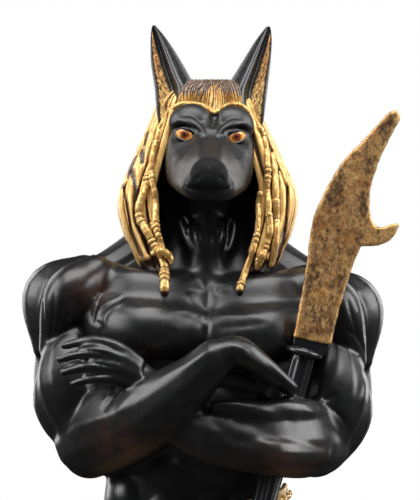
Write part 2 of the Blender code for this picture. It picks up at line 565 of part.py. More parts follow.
def main():
    for old in list(bpy.data.objects):
        bpy.data.objects.remove(old)
    parts = bpy.data.collections.new("anubis_statue")
    cutters = bpy.data.collections.new("cutters")
    for collection in (parts, cutters):
        bpy.context.scene.collection.children.link(collection)
    clay = Clay()
    for shape in (torso, neck, upper_forearm, lower_forearm, head, ears, headdress, kilt, legs):
        shape(clay)
    upper_arm(clay, -1, Matrix())
    upper_arm(clay, 1, Matrix.Translation((-0.6, 0, -3)))
    figure = cast("figure", clay, FIGURE_VOXEL, FIGURE_SMOOTHING, FIGURE_FACES_KEPT, parts)
    channel = as_cutter(axe_rod("channel", GAP / MM, cutters))
    channel.matrix_world = axe_pose()
    difference(figure, channel)
    difference(figure, as_cutter(blade_plate("blade room", GAP / MM, cutters)))
    difference(figure, as_cutter(floor_block(cutters)))
    axe = war_axe(parts, cutters)
    base = plinth(parts)
    paint(figure, "black_resin", (0.012, 0.012, 0.013), 0.38, 0.0)
    paint(axe, "antique_gold", (0.32, 0.17, 0.05), 0.45, 0.6)
    paint(base, "black_resin_base", (0.012, 0.012, 0.013), 0.45, 0.0)


main()
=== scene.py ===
"""Looks of the standing Anubis statue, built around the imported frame.

Metres, +Z up, the figure faces -Y. Lengths in the shape tables are in units of MM.
"""
import json
import math

import bmesh
import bpy
import numpy as np
from mathutils import Euler, Matrix, Vector, noise
from mathutils.bvhtree import BVHTree

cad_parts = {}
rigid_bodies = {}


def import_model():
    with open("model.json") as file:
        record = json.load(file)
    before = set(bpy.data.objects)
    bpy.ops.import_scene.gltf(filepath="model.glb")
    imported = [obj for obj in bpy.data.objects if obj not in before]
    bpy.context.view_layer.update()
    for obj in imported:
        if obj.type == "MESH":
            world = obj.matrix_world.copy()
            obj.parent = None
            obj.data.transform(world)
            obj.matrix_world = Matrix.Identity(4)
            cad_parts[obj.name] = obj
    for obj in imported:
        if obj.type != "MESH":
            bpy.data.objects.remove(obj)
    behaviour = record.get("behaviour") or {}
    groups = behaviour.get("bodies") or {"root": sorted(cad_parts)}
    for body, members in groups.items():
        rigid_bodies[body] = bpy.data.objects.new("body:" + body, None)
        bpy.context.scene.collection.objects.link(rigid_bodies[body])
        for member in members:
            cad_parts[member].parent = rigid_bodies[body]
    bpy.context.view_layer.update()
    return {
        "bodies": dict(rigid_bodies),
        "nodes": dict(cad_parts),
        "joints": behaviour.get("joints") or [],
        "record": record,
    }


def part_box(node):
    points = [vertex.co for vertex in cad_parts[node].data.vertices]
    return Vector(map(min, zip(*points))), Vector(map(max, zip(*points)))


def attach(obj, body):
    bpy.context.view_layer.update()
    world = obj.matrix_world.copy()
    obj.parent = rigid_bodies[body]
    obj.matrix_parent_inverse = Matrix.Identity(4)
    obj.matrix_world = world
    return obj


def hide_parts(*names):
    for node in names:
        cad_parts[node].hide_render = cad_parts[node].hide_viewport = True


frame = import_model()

# one unit of the shape tables, from the plinth that is 86 of them wide
PLINTH_FROM, PLINTH_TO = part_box("plinth")
MM = round(PLINTH_TO.x - PLINTH_FROM.x, 4) / 86

# the weapon: its axis passes through the collar ring and leans forward and outward
RING_CENTRE = Vector((24.4, -21.4, 196.8))
SHAFT_LEAN = Vector((0.27, -0.075, 1.0)).normalized()
SHAFT_RADIUS = 3.1
SHAFT_BELOW_RING = 54.0
BLADE_THICKNESS = 3.6

# where the head's own frame lies: its nose points along -Y
HEAD = (Matrix.Translation((1.6, -4, 250)) @ Matrix.Rotation(math.radians(3), 4, "Y")
        @ Matrix.Rotation(math.radians(0.5), 4, "Z"))
KILT_PLEATS = 44
SOLE_LEVEL = 12.3
EYES = [((-4.75, 250.8), 20), ((8.05, 250.25), -18)]  # x, z and the tilt in degrees

# the finest details of the fused pieces, and the most triangles that the large ones keep
BODY_VOXEL, BODY_TRIANGLES = 0.45, 196000
HEAD_VOXEL, HEAD_TRIANGLES = 0.28, 150000
LEG_VOXEL, LEG_TRIANGLES = 0.6, 90000

# metres: the camera looks up a little at the target, past which it sees this far up and down
TARGET = Vector((0.0015, 0, 0.22375))
CAMERA_DISTANCE = 0.9
CAMERA_RISE = math.radians(-5)
HALF_PICTURE = 0.0625
SENSOR = 36
FLOOR_SIZE = 1.4
# soft lights: name, place, point that it faces, width and height, power
LIGHTS = [("left window", (-0.76, -0.18, 0.56), (0, 0, 0.21), (0.55, 0.60), 7.0),
          ("right window", (0.76, -0.18, 0.56), (0, 0, 0.21), (0.55, 0.60), 8.2),
          ("top panel", (0, -0.30, 0.85), (0, 0, 0.2), (0.80, 0.50), 9.0),
          ("back left", (-0.5, 0.6, 0.45), (0, 0, 0.18), (0.4, 0.6), 2.5),
          ("back right", (0.5, 0.6, 0.45), (0, 0, 0.18), (0.4, 0.6), 2.5)]


def smooth_rows(rows, steps):
    """Rows on a smooth curve through the given rows, with this many steps from one to the next."""
    rows = np.array(rows, float)
    ends = np.vstack([2 * rows[0] - rows[1], rows, 2 * rows[-1] - rows[-2]])
    curve = []
    for before, start, stop, after in zip(ends, ends[1:], ends[2:], ends[3:]):
        for t in np.arange(steps) / steps:
            curve.append(0.5 * (2 * start + (stop - before) * t
                                + (2 * before - 5 * start + 4 * stop - after) * t * t
                                + (3 * start - before - 3 * stop + after) * t ** 3))
    return np.array(curve + [rows[-1]])


def link(obj):
    bpy.context.scene.collection.objects.link(obj)
    return obj


def store(mesh, name, values):
    """Keeps one number for each point, which the paints read."""
    layer = mesh.attributes.new(name, "FLOAT", "POINT")
    layer.data.foreach_set("value", np.asarray(values, np.float32).ravel())


def face_outward(mesh):
    fixed = bmesh.new()
    fixed.from_mesh(mesh)
    bmesh.ops.recalc_face_normals(fixed, faces=fixed.faces)
    fixed.to_mesh(mesh)
    fixed.free()
    return mesh


class Clay:
    """Closed shapes heaped up, which a voxel remesh then fuses into one skin."""

    def __init__(self, roundness=4):
        self.solids = bmesh.new()
        self.tubes = bpy.data.curves.new("tubes", "CURVE")
        self.tubes.dimensions = "3D"
        self.tubes.bevel_depth = MM
        self.tubes.bevel_resolution = roundness
        self.tubes.use_fill_caps = True

    def ball(self, centre, size, turn=(0, 0, 0), frame=Matrix()):
        """An ellipsoid with these half axes, turned by these degrees."""
        turned = Euler([math.radians(angle) for angle in turn]).to_matrix().to_4x4()
        place = (Matrix.Scale(MM, 4) @ frame @ Matrix.Translation(centre) @ turned
                 @ Matrix.Diagonal((*size, 1)))
        bmesh.ops.create_uvsphere(self.solids, u_segments=24, v_segments=16, radius=1, matrix=place)

    def tube(self, points, radii, frame=Matrix(), steps=6):
        """A round muscle, finger or strand through the points, with a radius at each and round ends."""
        rows = smooth_rows([(*point, radius) for point, radius in zip(points, radii)], steps)
        start, stop = rows[0], rows[-1]
        along_start = (rows[0] - rows[1])[:3] / np.linalg.norm((rows[0] - rows[1])[:3])
        along_stop = (rows[-1] - rows[-2])[:3] / np.linalg.norm((rows[-1] - rows[-2])[:3])
        round_end = [(math.cos(math.radians(angle)), math.sin(math.radians(angle)))
                     for angle in (80, 55, 28)]
        head = [(*(start[:3] + along_start * start[3] * out), start[3] * width) for width, out in round_end]
        tail = [(*(stop[:3] + along_stop * stop[3] * out), stop[3] * width)
                for width, out in reversed(round_end)]
        rows = head + [tuple(row) for row in rows] + tail
        spline = self.tubes.splines.new("POLY")
        spline.points.add(len(rows) - 1)
        for point, (x, y, z, radius) in zip(spline.points, rows):
            point.co = (*(frame @ Vector((x, y, z)) * MM), 1)
            point.radius = max(radius, 0.05)

    def loft(self, rings):
        """A skin over closed rings of equal count, with flat ends."""
        rows = [[self.solids.verts.new(Vector(point) * MM) for point in ring] for ring in rings]
        count = len(rows[0])
        for low, high in zip(rows, rows[1:]):
            for k in range(count):
                self.solids.faces.new((low[k], low[(k + 1) % count], high[(k + 1) % count], high[k]))
        self.solids.faces.new(rows[0][::-1])
        self.solids.faces.new(rows[-1])

    def belly(self, points, halves, side, frame=Matrix(), around=24, steps=6):
        """A muscle of oval section through the points; halves are its reach along side and across it."""
        rows = smooth_rows([(*point, *half) for point, half in zip(points, halves)], steps)
        heading = np.gradient(rows[:, :3], axis=0)
        cap = [(math.cos(math.radians(angle)), math.sin(math.radians(angle))) for angle in (78, 52, 26)]
        stations = [(rows[0], heading[0], width, -out) for width, out in cap]
        stations += [(row, way, 1, 0) for row, way in zip(rows, heading)]
        stations += [(rows[-1], heading[-1], width, out) for width, out in reversed(cap)]
        rings = []
        for row, way, width, out in stations:
            way = Vector(way).normalized()
            across = (Vector(side) - Vector(side).dot(way) * way).normalized()
            up = way.cross(across)
            centre = Vector(row[:3]) + way * out * min(row[3], row[4])
            ring = []
            for k in range(around):
                angle = 2 * math.pi * k / around
                c, s = math.cos(angle), math.sin(angle)
                point = centre + across * row[3] * width * c + up * row[4] * width * s
                ring.append(frame @ point)
            rings.append(ring)
        self.loft(rings)

    def stack(self, sections, squareness, around=48, ripples=0, ripple_depth=0.0):
        """A loft of level sections: height, middle x and y, half width, half depth."""
        rings = []
        for z, x, y, half_width, half_depth in smooth_rows(sections, 5):
            ring = []
            for k in range(around):
                angle = 2 * math.pi * k / around
                reach = 1 + ripple_depth * math.cos(ripples * angle)
                c, s = math.cos(angle), math.sin(angle)
                ring.append((x + half_width * reach * math.copysign(abs(c) ** (2 / squareness), c),
                             y + half_depth * reach * math.copysign(abs(s) ** (2 / squareness), s), z))
            rings.append(ring)
        self.loft(rings)

    def heap(self):
        """All the shapes as one mesh, still overlapping."""
        if self.tubes.splines:
            carrier = link(bpy.data.objects.new("tubes", self.tubes))
            graph = bpy.context.evaluated_depsgraph_get()
            rods = bpy.data.meshes.new_from_object(carrier.evaluated_get(graph))
            self.solids.from_mesh(rods)
            bpy.data.objects.remove(carrier)
        mesh = bpy.data.meshes.new("heap")
        self.solids.to_mesh(mesh)
        self.solids.free()
        return mesh


def heaped(shapes, roundness=4):
    """The mesh of one heap of shapes."""
    clay = Clay(roundness)
    shapes(clay)
    return clay.heap()


def torso(clay):
    clay.stack([(136, -2, 1, 22, 17), (150, -2.8, 1, 22.5, 16), (160, -3, 0.5, 22, 15),
                (168, -2.6, 0, 21.6, 14.5), (176, -2, 0, 22.5, 15), (186, -1, 0.5, 25, 15.5),
                (196, 0, 1.5, 28, 16.5), (206, 0.3, 2, 30, 17), (214, 0.4, 3, 28, 15.5),
                (221, 0.5, 4, 19, 13), (228, 1, 3.5, 11.5, 11)], squareness=2.3)
    clay.ball((0.2, 8, 204), (25, 10.5, 19))
    for s, frame in ((-1, Matrix()), (1, Matrix.Translation((0, 0, -1)))):
        # chest
        clay.belly([(s * 3.4, -16.6, 202.5), (s * 13, -17.6, 202.3), (s * 22, -14, 204), (s * 30, -7, 208)],
                   [(6.4, 4.6), (7.4, 6.2), (7.0, 5.2), (5, 4)], side=(0, 0, 1), frame=frame)
        clay.belly([(s * 4, -12.9, 209.5), (s * 16, -12.4, 210), (s * 28, -5, 213)],
                   [(7.4, 4.2), (8.4, 4.4), (6.0, 5)], side=(0, 0, 1), frame=frame)
        # collar bone, slope of the neck, shoulder blade
        clay.tube([(s * 3.0, -14.2, 214.2), (s * 10, -13.2, 215.4), (s * 22, -8.4, 219.0),
                   (s * 31, -3, 219.5)],
                  [1.2, 0.9, 1.2, 2.0], frame)
        clay.tube([(s * 3, 3, 237), (s * 10, 5, 226.3), (s * 22, 4, 218.2), (s * 32, 2, 214)],
                  [7, 8, 6.8, 6], frame)
        clay.tube([(s * 6, 9, 222), (s * 11, 10.5, 205), (s * 4, 11, 185)], [8.5, 9.5, 6], frame)
        clay.ball((s * 19, 10, 208), (9.5, 7.5, 12), turn=(0, s * 22, 0), frame=frame)
        # side of the back, ribs and flank
        clay.tube([(s * 26, 7, 208), (s * 25.5, 6.5, 194), (s * 20, 6, 176)], [8, 8, 6])
        clay.tube([(s * 20 - 1, -6, 192), (s * 19 - 2, -7, 180)], [5.5, 4.5])
        clay.ball((-2.8 + s * 14.6, -3, 162), (7.0, 9.5, 9))
        # belly in its blocks, and the columns beside the spine
        for height, half_height in ((186, 5.0), (177, 4.6), (168.5, 4.4)):
            clay.ball((-2.4 + s * 5.6, -11.4, height), (5.9, 4.2, half_height))
        clay.ball((-2.9 + s * 5.2, -12.0, 156), (6.4, 4.2, 8.5))
        clay.tube([(s * 5, 12, 190), (s * 5 - 2, 11.2, 172), (s * 5 - 2.5, 8.5, 156)], [6, 5.5, 4.5])


def neck(clay):
    clay.tube([(0.6, 2.5, 215), (0.8, 2.2, 230), (1.3, 1.5, 246)], [12.5, 10.0, 9.6])
    clay.tube([(0.8, -1.5, 232), (0.8, -4.5, 224), (0.7, -6.5, 216)], [6.0, 6.5, 7.0])
    # folds of the throat
    clay.tube([(-6.0, -5.6, 230.5), (-4.6, -8.0, 226.5), (-3.2, -10.6, 222.6)], [1.0, 1.5, 0.9])
    clay.tube([(-2.6, -7.6, 229.5), (-1.7, -10.4, 225.8), (-0.4, -12.0, 222.0)], [0.8, 1.3, 0.8])
    clay.tube([(1.4, -9.2, 228.0), (1.2, -11.0, 224.8), (0.9, -12.0, 222.0)], [0.7, 1.1, 0.6])
    clay.tube([(4.6, -7.6, 230.0), (4.0, -10.0, 226.0), (3.0, -11.6, 222.2)], [0.9, 1.3, 0.8])
    clay.tube([(7.6, -5.6, 230.0), (7.0, -7.2, 226.0), (6.2, -9.6, 222.6)], [0.9, 1.4, 0.9])


def upper_arm(clay, s, frame):
    # shoulder: core, then its front, middle and rear heads
    clay.ball((s * 33.8, 0, 209), (9.8, 12, 12.8), frame=frame)
    clay.tube([(s * 27, -9, 217), (s * 33.6, -11.3, 211), (s * 38.6, -8, 198.5)], [5.0, 6.4, 2.4], frame)
    clay.tube([(s * 30, -1, 217.3), (s * 38.6, -2, 212), (s * 40.4, -3.5, 198.5)], [5.4, 6.9, 2.2], frame)
    clay.tube([(s * 28, 9, 215), (s * 37, 8, 208.5), (s * 39.5, 3, 198)], [5.8, 6.9, 3.0], frame)
    # biceps, triceps and the muscle between them
    clay.tube([(s * 33.4, -8, 203), (s * 33.2, -10.5, 190), (s * 29, -9, 177)], [4.5, 8.2, 5.5], frame)
    clay.tube([(s * 36.5, 3, 203), (s * 35.2, 5.5, 189), (s * 29, 3, 176)], [5, 7.4, 6], frame)
    clay.tube([(s * 37.4, -1, 198), (s * 38.2, -2.5, 188), (s * 36.4, -3, 181.5), (s * 31, -3, 175)],
              [2.6, 4.4, 4.5, 4.2], frame)


def upper_forearm(clay):
    """The figure's right forearm lies on top; its hand bends down over the other arm."""
    clay.ball((-28.3, -1, 174.2), (7.4, 7.5, 7.6))
    clay.tube([(-28.0, -5, 176), (-22.5, -13, 178.8), (-13.5, -24, 181.9), (-3.5, -32, 188.8),
               (2.5, -36, 194.4)],
              [9.2, 10.8, 9.4, 6.4, 5.0])
    clay.tube([(-31, -9, 181), (-24, -19, 184.2), (-14, -29.2, 186.2)], [3.5, 4.4, 2.4])
    # back of the hand, then the fingers side by side
    clay.belly([(2.5, -35.5, 194.2), (7.5, -35.4, 196.4), (12, -34, 194.2), (17, -31.4, 190)],
               [(4.4, 4.6), (3.8, 5.6), (3.2, 5.8), (2.4, 4.8)], side=(0.5, 0, 1))
    for k in range(4):
        y = -38.0 + 3.1 * k
        clay.tube([(10.5, y, 196.6 - 0.5 * k), (15.5, y + 1.6, 192.6 - 0.5 * k),
                   (21.3, y + 4.2, 187.8 - 0.3 * k)],
                  [2.1, 1.9, 1.4])
    clay.tube([(2, -32, 190.5), (8, -30.5, 189.5), (14, -28.5, 187.5)], [2.8, 2.2, 1.7])


def lower_forearm(clay):
    """The figure's left forearm passes beneath; its hand lies on the right upper arm."""
    clay.ball((27.6, -1, 173.7), (7, 7.5, 6.8))
    clay.tube([(28.0, -6, 175.9), (22.3, -17, 175.6), (11.5, -25, 175.6), (-1.75, -26.5, 178),
               (-12, -25.5, 185.5)],
              [8.6, 9.4, 8.2, 6.6, 4.8])
    clay.tube([(32, -9, 181.5), (24, -22, 182.2), (12, -30.5, 182.4), (3, -32, 183.2)],
              [2.6, 3.8, 3.0, 1.6])
    clay.tube([(28, -20, 172.5), (17, -29, 172.4), (4, -31.5, 175)], [3.0, 4.2, 2.0])
    # wrist, palm and fingers
    clay.belly([(-11, -26, 186.5), (-16, -26, 190.2), (-20, -26, 192.6)],
               [(4.2, 3.6), (4.4, 2.4), (4.0, 1.6)], side=(0.5, 0, 1))
    fingers = [[(-15.5, -28, 194.2), (-20.5, -28.6, 197.6), (-27, -27.2, 199.4), (-34, -22.4, 198.4)],
               [(-16, -28.8, 192.6), (-20.5, -29.4, 195.2), (-27.5, -28.6, 196.6), (-35, -23.4, 195.0)],
               [(-16, -29, 190.8), (-20.5, -29.6, 192.6), (-27.5, -29, 193.2), (-34, -25, 191.8)],
               [(-16, -28.6, 189), (-21, -29, 190), (-27, -29, 190.2), (-31.5, -27, 188.9)]]
    for finger in fingers:
        clay.tube(finger, [1.5, 1.6, 1.45, 1.1])


def smooth_ring(points, steps):
    """A closed smooth curve through the points."""
    looped = [points[-1]] + list(points) + [points[0], points[1]]
    rows = smooth_rows(looped, steps)
    return rows[steps:-steps - 1]


# the skull and jaws in sections along the head's own y: y, height of the top, half width near the top,
# height and half width of the cheek, height and half width of the lip, height of the underside
FACE = [(10, 9.0, 6.0, 1.0, 9.2, -7.0, 7.0, -11.0), (4, 9.6, 7.0, 1.0, 10.6, -8.5, 9.0, -12.6),
        (-3, 9.0, 7.5, 0.5, 10.8, -9.6, 10.2, -13.4), (-8, 6.2, 7.6, -1.5, 10.7, -10.6, 10.2, -13.8),
        (-11.5, 2.8, 6.2, -3.5, 10.2, -11.2, 9.7, -14.2), (-14, 0.0, 4.4, -5.2, 8.9, -12.0, 9.2, -15.0),
        (-19, -2.8, 3.8, -7.6, 7.3, -12.8, 8.4, -16.2), (-25, -5.2, 3.6, -9.6, 6.0, -13.4, 7.5, -17.0),
        (-29.5, -6.6, 3.2, -10.8, 5.0, -14.0, 6.6, -17.3),
        (-31.5, -8.2, 2.6, -11.8, 4.2, -14.4, 5.4, -17.0)]
# the nose pad: y, half width, height of the middle and half height
NOSE = [(-25, 3.0, -11.0, 2.8), (-28.5, 4.4, -11.0, 3.7), (-31.5, 4.7, -11.0, 3.9),
        (-33.6, 4.3, -11.1, 3.5), (-34.8, 2.9, -11.2, 2.4), (-35.2, 1.2, -11.2, 1.0)]


def head(clay):
    rings = []
    for y, top, top_half, cheek, cheek_half, lip, lip_half, bottom in smooth_rows(FACE, 4):
        right = [(0, top), (top_half * 0.6, top - 0.05 * (top - cheek)),
                 (top_half, top - 0.3 * (top - cheek)),
                 (cheek_half, cheek), (lip_half, lip), (lip_half * 0.6, bottom + 0.12 * (lip - bottom)),
                 (0, bottom)]
        outline = right + [(-x, z) for x, z in right[-2:0:-1]]
        rings.append([HEAD @ Vector((x, y, z)) for x, z in smooth_ring(outline, 4)])
    clay.loft(rings)
    clay.ball((0, 2, -0.5), (10.2, 12.5, 10.2), frame=HEAD)
    rings = []
    for y, half_width, middle, half_height in smooth_rows(NOSE, 4):
        ring = []
        for k in range(48):
            angle = 2 * math.pi * k / 48
            x, z = math.cos(angle), math.sin(angle)
            x = half_width * math.copysign(abs(x) ** 0.8, x) * (1 - 0.16 * z)
            ring.append(HEAD @ Vector((x, y, middle + half_height * math.copysign(abs(z) ** 0.8, z))))
        rings.append(ring)
    clay.loft(rings)
    for s in (-1, 1):
        # forehead lobe, brow and cheek bone
        clay.ball((s * 5.1, -6.6, 4.0), (5.6, 4.0, 5.0), frame=HEAD)
        clay.tube([(s * 9.8, -5.2, 3.0), (s * 8.6, -7.8, 4.3), (s * 5.8, -10.2, 3.9), (s * 3.4, -11.9, 2.2),
                   (s * 1.9, -12.9, 0.3)], [0.9, 1.3, 1.5, 1.3, 0.8], frame=HEAD)
        clay.ball((s * 7.4, -7.6, -4.4), (2.9, 3.4, 4.4), frame=HEAD)


# each ear at its heights: outer edge, inner edge and y of its middle; the viewer's left ear, then the right
LEFT_EAR = [(249, -9.4, -4.5, -8.4), (255.6, -11.5, -3.6, -8.6), (260.0, -12.0, -1.9, -8.2),
            (263.4, -12.3, -1.6, -7.4), (266.1, -12.7, -3.1, -6.6), (269.6, -13.2, -5.0, -5.6),
            (273, -13.4, -7.0, -4.8), (276.6, -13.4, -9.4, -4.1), (278.8, -13.2, -11.2, -3.8),
            (279.9, -12.9, -12.2, -3.7)]
RIGHT_EAR = [(249, 13.0, 7.4, -8.4), (254.6, 14.7, 6.8, -8.6), (260.0, 15.4, 5.4, -8.2),
             (263.0, 15.8, 5.2, -7.5), (266.4, 16.2, 7.0, -6.6), (270.9, 16.7, 9.7, -5.4),
             (275.5, 17.0, 12.5, -4.4), (278.5, 16.8, 14.7, -3.8), (279.6, 16.5, 15.7, -3.7)]
# section across an ear: share of the way from its outer to its inner edge, depth as a share of the width
EAR_SECTION = [(0.0, 0.06), (0.015, -0.04), (0.05, -0.06), (0.085, -0.01), (0.13, 0.07), (0.22, 0.12),
               (0.32, 0.13), (0.42, 0.10), (0.49, -0.02), (0.55, -0.12), (0.62, -0.16), (0.70, -0.14),
               (0.80, -0.06), (0.90, 0.06), (1.0, 0.22), (0.97, 0.34), (0.80, 0.45), (0.50, 0.47),
               (0.20, 0.33), (0.04, 0.18)]


def ear(clay, rows, finish=4):
    """A tall cup in level sections: a thin outer rim, a hollow, and a thick rolled inner edge."""
    rings = []
    for z, outer, inner, y in smooth_rows(rows, finish):
        width = inner - outer
        ring = [(outer + share * width, y + depth * abs(width), z) for share, depth in EAR_SECTION]
        if width < 0:
            ring = ring[::-1]
        rings.append([tuple(point) for point in smooth_ring(ring, finish)])
    clay.loft(rings)


def ear_point(rows, z, share, lift):
    """A point on the front of an ear, lifted off it."""
    table = np.array(rows, float)
    outer, inner, y = (np.interp(z, table[:, 0], table[:, k]) for k in (1, 2, 3))
    shares, depths = np.array(EAR_SECTION[:15]).T
    return (outer + share * (inner - outer),
            y + np.interp(share, shares, depths) * abs(inner - outer) - lift, z)


def ear_fur(clay):
    """Tufts that lie in the outer part of each ear: long and steep above, short and level below."""
    for rows, top in ((LEFT_EAR, 275.5), (RIGHT_EAR, 275.0)):
        for k in range(64):
            z = 250.6 + (top - 250.6) * k / 63
            low = np.interp(z, (250, 262, 275), (1, 0.35, 0))
            reach = np.interp(z, (250, 256, 262, 266, 271, 276), (0.45, 0.42, 0.35, 0.31, 0.28, 0.17))
            for j in range(3):
                start = reach - 0.10 * j + 0.02 * math.sin(k * 2.3 + 2 * j)
                if start < 0.14:
                    continue
                stop = max(start - 0.09 - 0.14 * low, 0.095)
                rise = 2.6 - 1.9 * low + 0.4 * math.sin(k * 1.7 + 2 * j)
                thick = 0.17 + 0.08 * low + 0.03 * math.sin(3.1 * k + j)
                clay.tube([ear_point(rows, z - 0.5, start, -0.02),
                           ear_point(rows, z + 0.4 * rise, (start + stop) / 2, 0.30),
                           ear_point(rows, z + rise, stop, 0.05)],
                          [thick * 0.7, thick, thick * 0.3], steps=3)


# the headdress from the crown down: height, half width, front and back
HEADDRESS = [(266.0, 2.4, -3.4, 4.0), (265, 7, -6, 8), (261.3, 12.2, -8.5, 14), (255, 14.9, -10, 17),
             (247, 18.5, -11.5, 18.5), (237, 22.4, -12.8, 19.5), (229, 21.4, -14.0, 19.5),
             (219.4, 17.4, -16.0, 18.5)]
HOOD_STRANDS = 44
# half the angle that it leaves open in front, and how square its outline is in front and at the back
HOOD_OPENING = 13
HOOD_FRONT = 0.38
HOOD_BACK = 0.75
HOOD_THICKNESS = 3.2
HOOD_INNER = 120  # points round its inner side
# gaps in its front, pushed back and painted dark as shade: path in x and z, and half the width
HOOD_GAPS = [
    ([(-20.2, 239.6), (-19.6, 236.6), (-18.7, 232.2), (-18.0, 227.8), (-17.0, 224.2), (-15.0, 220.0)],
     0.22),
    ([(-18.0, 243.3), (-17.2, 239.6), (-16.9, 236.2), (-17.0, 232.2), (-16.6, 229.3), (-15.1, 225.7),
      (-13.3, 221.0)], 0.42),
    ([(-15.3, 247.2), (-15.4, 244.6)], 0.45),
    ([(-13.9, 252.4), (-14.8, 248.8)], 0.22),
    ([(-16.9, 246.4), (-18.3, 243.6), (-18.9, 240.6)], 0.25),
    ([(16.8, 247.7), (16.8, 233.7), (17.0, 226.3), (16.3, 219.2)], 0.30),
    ([(18.4, 243.3), (18.3, 233.7), (18.2, 229.0)], 0.22),
    ([(20.7, 238.9), (20.4, 230.7), (19.5, 224.8), (17.4, 218.9)], 0.24),
    ([(14.9, 252.0), (16.0, 248.6)], 0.2),
]
# where a strand is cut into points, as shares of its width
STRAND_CUTS = (0, 0.022, 0.045, 0.07, 0.10, 0.15, 0.22, 0.31, 0.41, 0.5, 0.59, 0.69, 0.78, 0.85, 0.90, 0.93,
               0.955, 0.978)


def hood_rings(rows, shares, inset):
    """The headdress's outline at these heights, from its left front edge round the back to its right one,
    cut at these shares of its length and moved inward."""
    limit = math.radians(180 - HOOD_OPENING)
    angle = np.linspace(-limit, limit, 1600)
    side, rear = np.sin(angle), np.cos(angle)
    power = np.where(rear < 0, HOOD_FRONT, HOOD_BACK)
    rings = []
    for (z, half_width, front, back), share, step in zip(rows, shares, inset):
        x = 0.9 + half_width * np.sign(side) * np.abs(side) ** power
        y = (front + back) / 2 + (back - front) / 2 * np.sign(rear) * np.abs(rear) ** power
        walked = np.concatenate([[0], np.cumsum(np.hypot(np.diff(x), np.diff(y)))])
        at = share * walked[-1]
        way_x = np.interp(at + 0.6, walked, x) - np.interp(at - 0.6, walked, x)
        way_y = np.interp(at + 0.6, walked, y) - np.interp(at - 0.6, walked, y)
        size = np.hypot(way_x, way_y)
        rings.append(np.stack([np.interp(at, walked, x) + step * way_y / size,
                               np.interp(at, walked, y) - step * way_x / size, z + 0 * at], axis=1))
    return np.array(rings)


def headdress():
    """Cloth in flat uneven strands round the back of the head, with grooves between them; the grooves, the
    gaps, the hem and the inside are painted dark as shade.
    """
    rows = smooth_rows(HEADDRESS, 12)
    rows = np.vstack([rows, rows[-1]])
    edges = np.arange(HOOD_STRANDS + 1) + 0.18 * np.sin(2.4 * np.arange(HOOD_STRANDS + 1))
    edges[0], edges[-1] = 0, HOOD_STRANDS
    height = np.linspace(0, 1, len(rows))[:, None]
    # the grooves wander a little on their way down
    free = np.clip(np.minimum(edges, HOOD_STRANDS - edges), 0, 1)
    wander = edges + 0.16 * np.sin(1.7 * edges + 4.5 * height) * free
    shares = np.array([strand + share for strand in range(HOOD_STRANDS) for share in STRAND_CUTS]
                      + [HOOD_STRANDS])
    which = np.minimum(shares.astype(int), HOOD_STRANDS - 1)
    part = shares - which
    place = wander[:, which] * (1 - part) + wander[:, which + 1] * part
    from_edge = np.minimum(part, 1 - part)
    side = np.where(part < 0.5, which, which + 1)
    # each groove opens here and there into a wider gap, painted dark as shade
    opened = np.clip(np.sin(2.9 * side + 5.2 * height) - 0.50, 0, 1)
    half = 0.075 + 0.34 * opened * np.clip(7 * height, 0, 1)
    depth = 0.7 * np.clip(1.15 - from_edge / half, 0, 1) ** 0.4
    lift = (0.16 * np.sin(3.3 * which + 1.1) + 0.12 * np.sin(1.9 * which + 7 * height)
            + 0.30 * (1 - (2 * part - 1) ** 2))
    swell = 0.4 + 0.6 * rows[:, 1][:, None] / 21
    inset = 0.5 - (np.where(depth > 0, 0, lift) - depth) * swell
    inset[-1] += 0.7
    share = place / HOOD_STRANDS
    outer = hood_rings(rows, share, inset)
    flat = outer.reshape(-1, 3)
    gap = np.zeros(len(flat))
    for points, half_gap in HOOD_GAPS:
        path = smooth_rows(points, 6)
        nearest = np.full(len(flat), 1e9)
        for (ax, az), (bx, bz) in zip(path[:-1], path[1:]):
            span = np.array((bx - ax, bz - az))
            away = flat[:, (0, 2)] - (ax, az)
            along = np.clip(away @ span / (span @ span), 0, 1)
            nearest = np.minimum(nearest, np.hypot(*(away - along[:, None] * span).T))
        gap = np.maximum(gap, np.clip(2.2 - 1.3 * nearest / half_gap, 0, 1))
    gap *= flat[:, 1] < 0
    flat[:, 1] += 0.9 * gap
    gap = gap.reshape(outer.shape[:2])
    beside_opening = np.clip((np.abs(share[-1] - 0.5) - 0.38) / 0.12, 0, 1)
    outer[:, :, 2] += height ** 6 * (0.4 * np.sin(2.1 * which) + 2.2 * beside_opening)
    back_way = np.repeat(np.linspace(1, 0, HOOD_INNER)[None], len(rows), 0)
    inner = hood_rings(rows, back_way, np.full(len(rows), HOOD_THICKNESS))
    inner[-2:, :, 2] -= 2.0
    rings = np.concatenate([outer, inner], axis=1)
    # painted shade: dark in the grooves and gaps, over the hem and all over the inside, a little at the top
    painted_shade = np.clip((half * 1.3 - from_edge) / (half * 0.3), 0, 1)
    painted_shade = np.maximum(painted_shade, np.clip(2 * gap, 0, 1))
    painted_shade[-1] = 1
    painted_shade = np.concatenate([painted_shade, np.ones((len(rows), HOOD_INNER))], axis=1)
    painted_shade[0] = 0.3
    count = rings.shape[1]
    mesh = bpy.data.meshes.new("headdress")
    vertices = (rings.reshape(-1, 3) * MM).tolist()
    faces = []
    for j in range(len(rows) - 1):
        for k in range(count):
            n = (k + 1) % count
            faces.append((j * count + k, j * count + n, (j + 1) * count + n, (j + 1) * count + k))
    last = (len(rows) - 1) * count
    faces.append(tuple(range(count - 1, -1, -1)))
    # the hem as a strip between the outer and the inner edge
    outside = len(shares)
    ratio = (outside - 1) / (HOOD_INNER - 1)
    for k in range(outside - 1):
        a, b = (outside + HOOD_INNER - 1 - min(int(j / ratio), HOOD_INNER - 1) for j in (k, k + 1))
        corners = [last + k, last + k + 1, last + b] + ([last + a] if a != b else [])
        faces.append(tuple(corners))
    mesh.from_pydata(vertices, [], faces)
    mesh.update()
    store(mesh, "painted_shade", painted_shade)
    return face_outward(mesh)


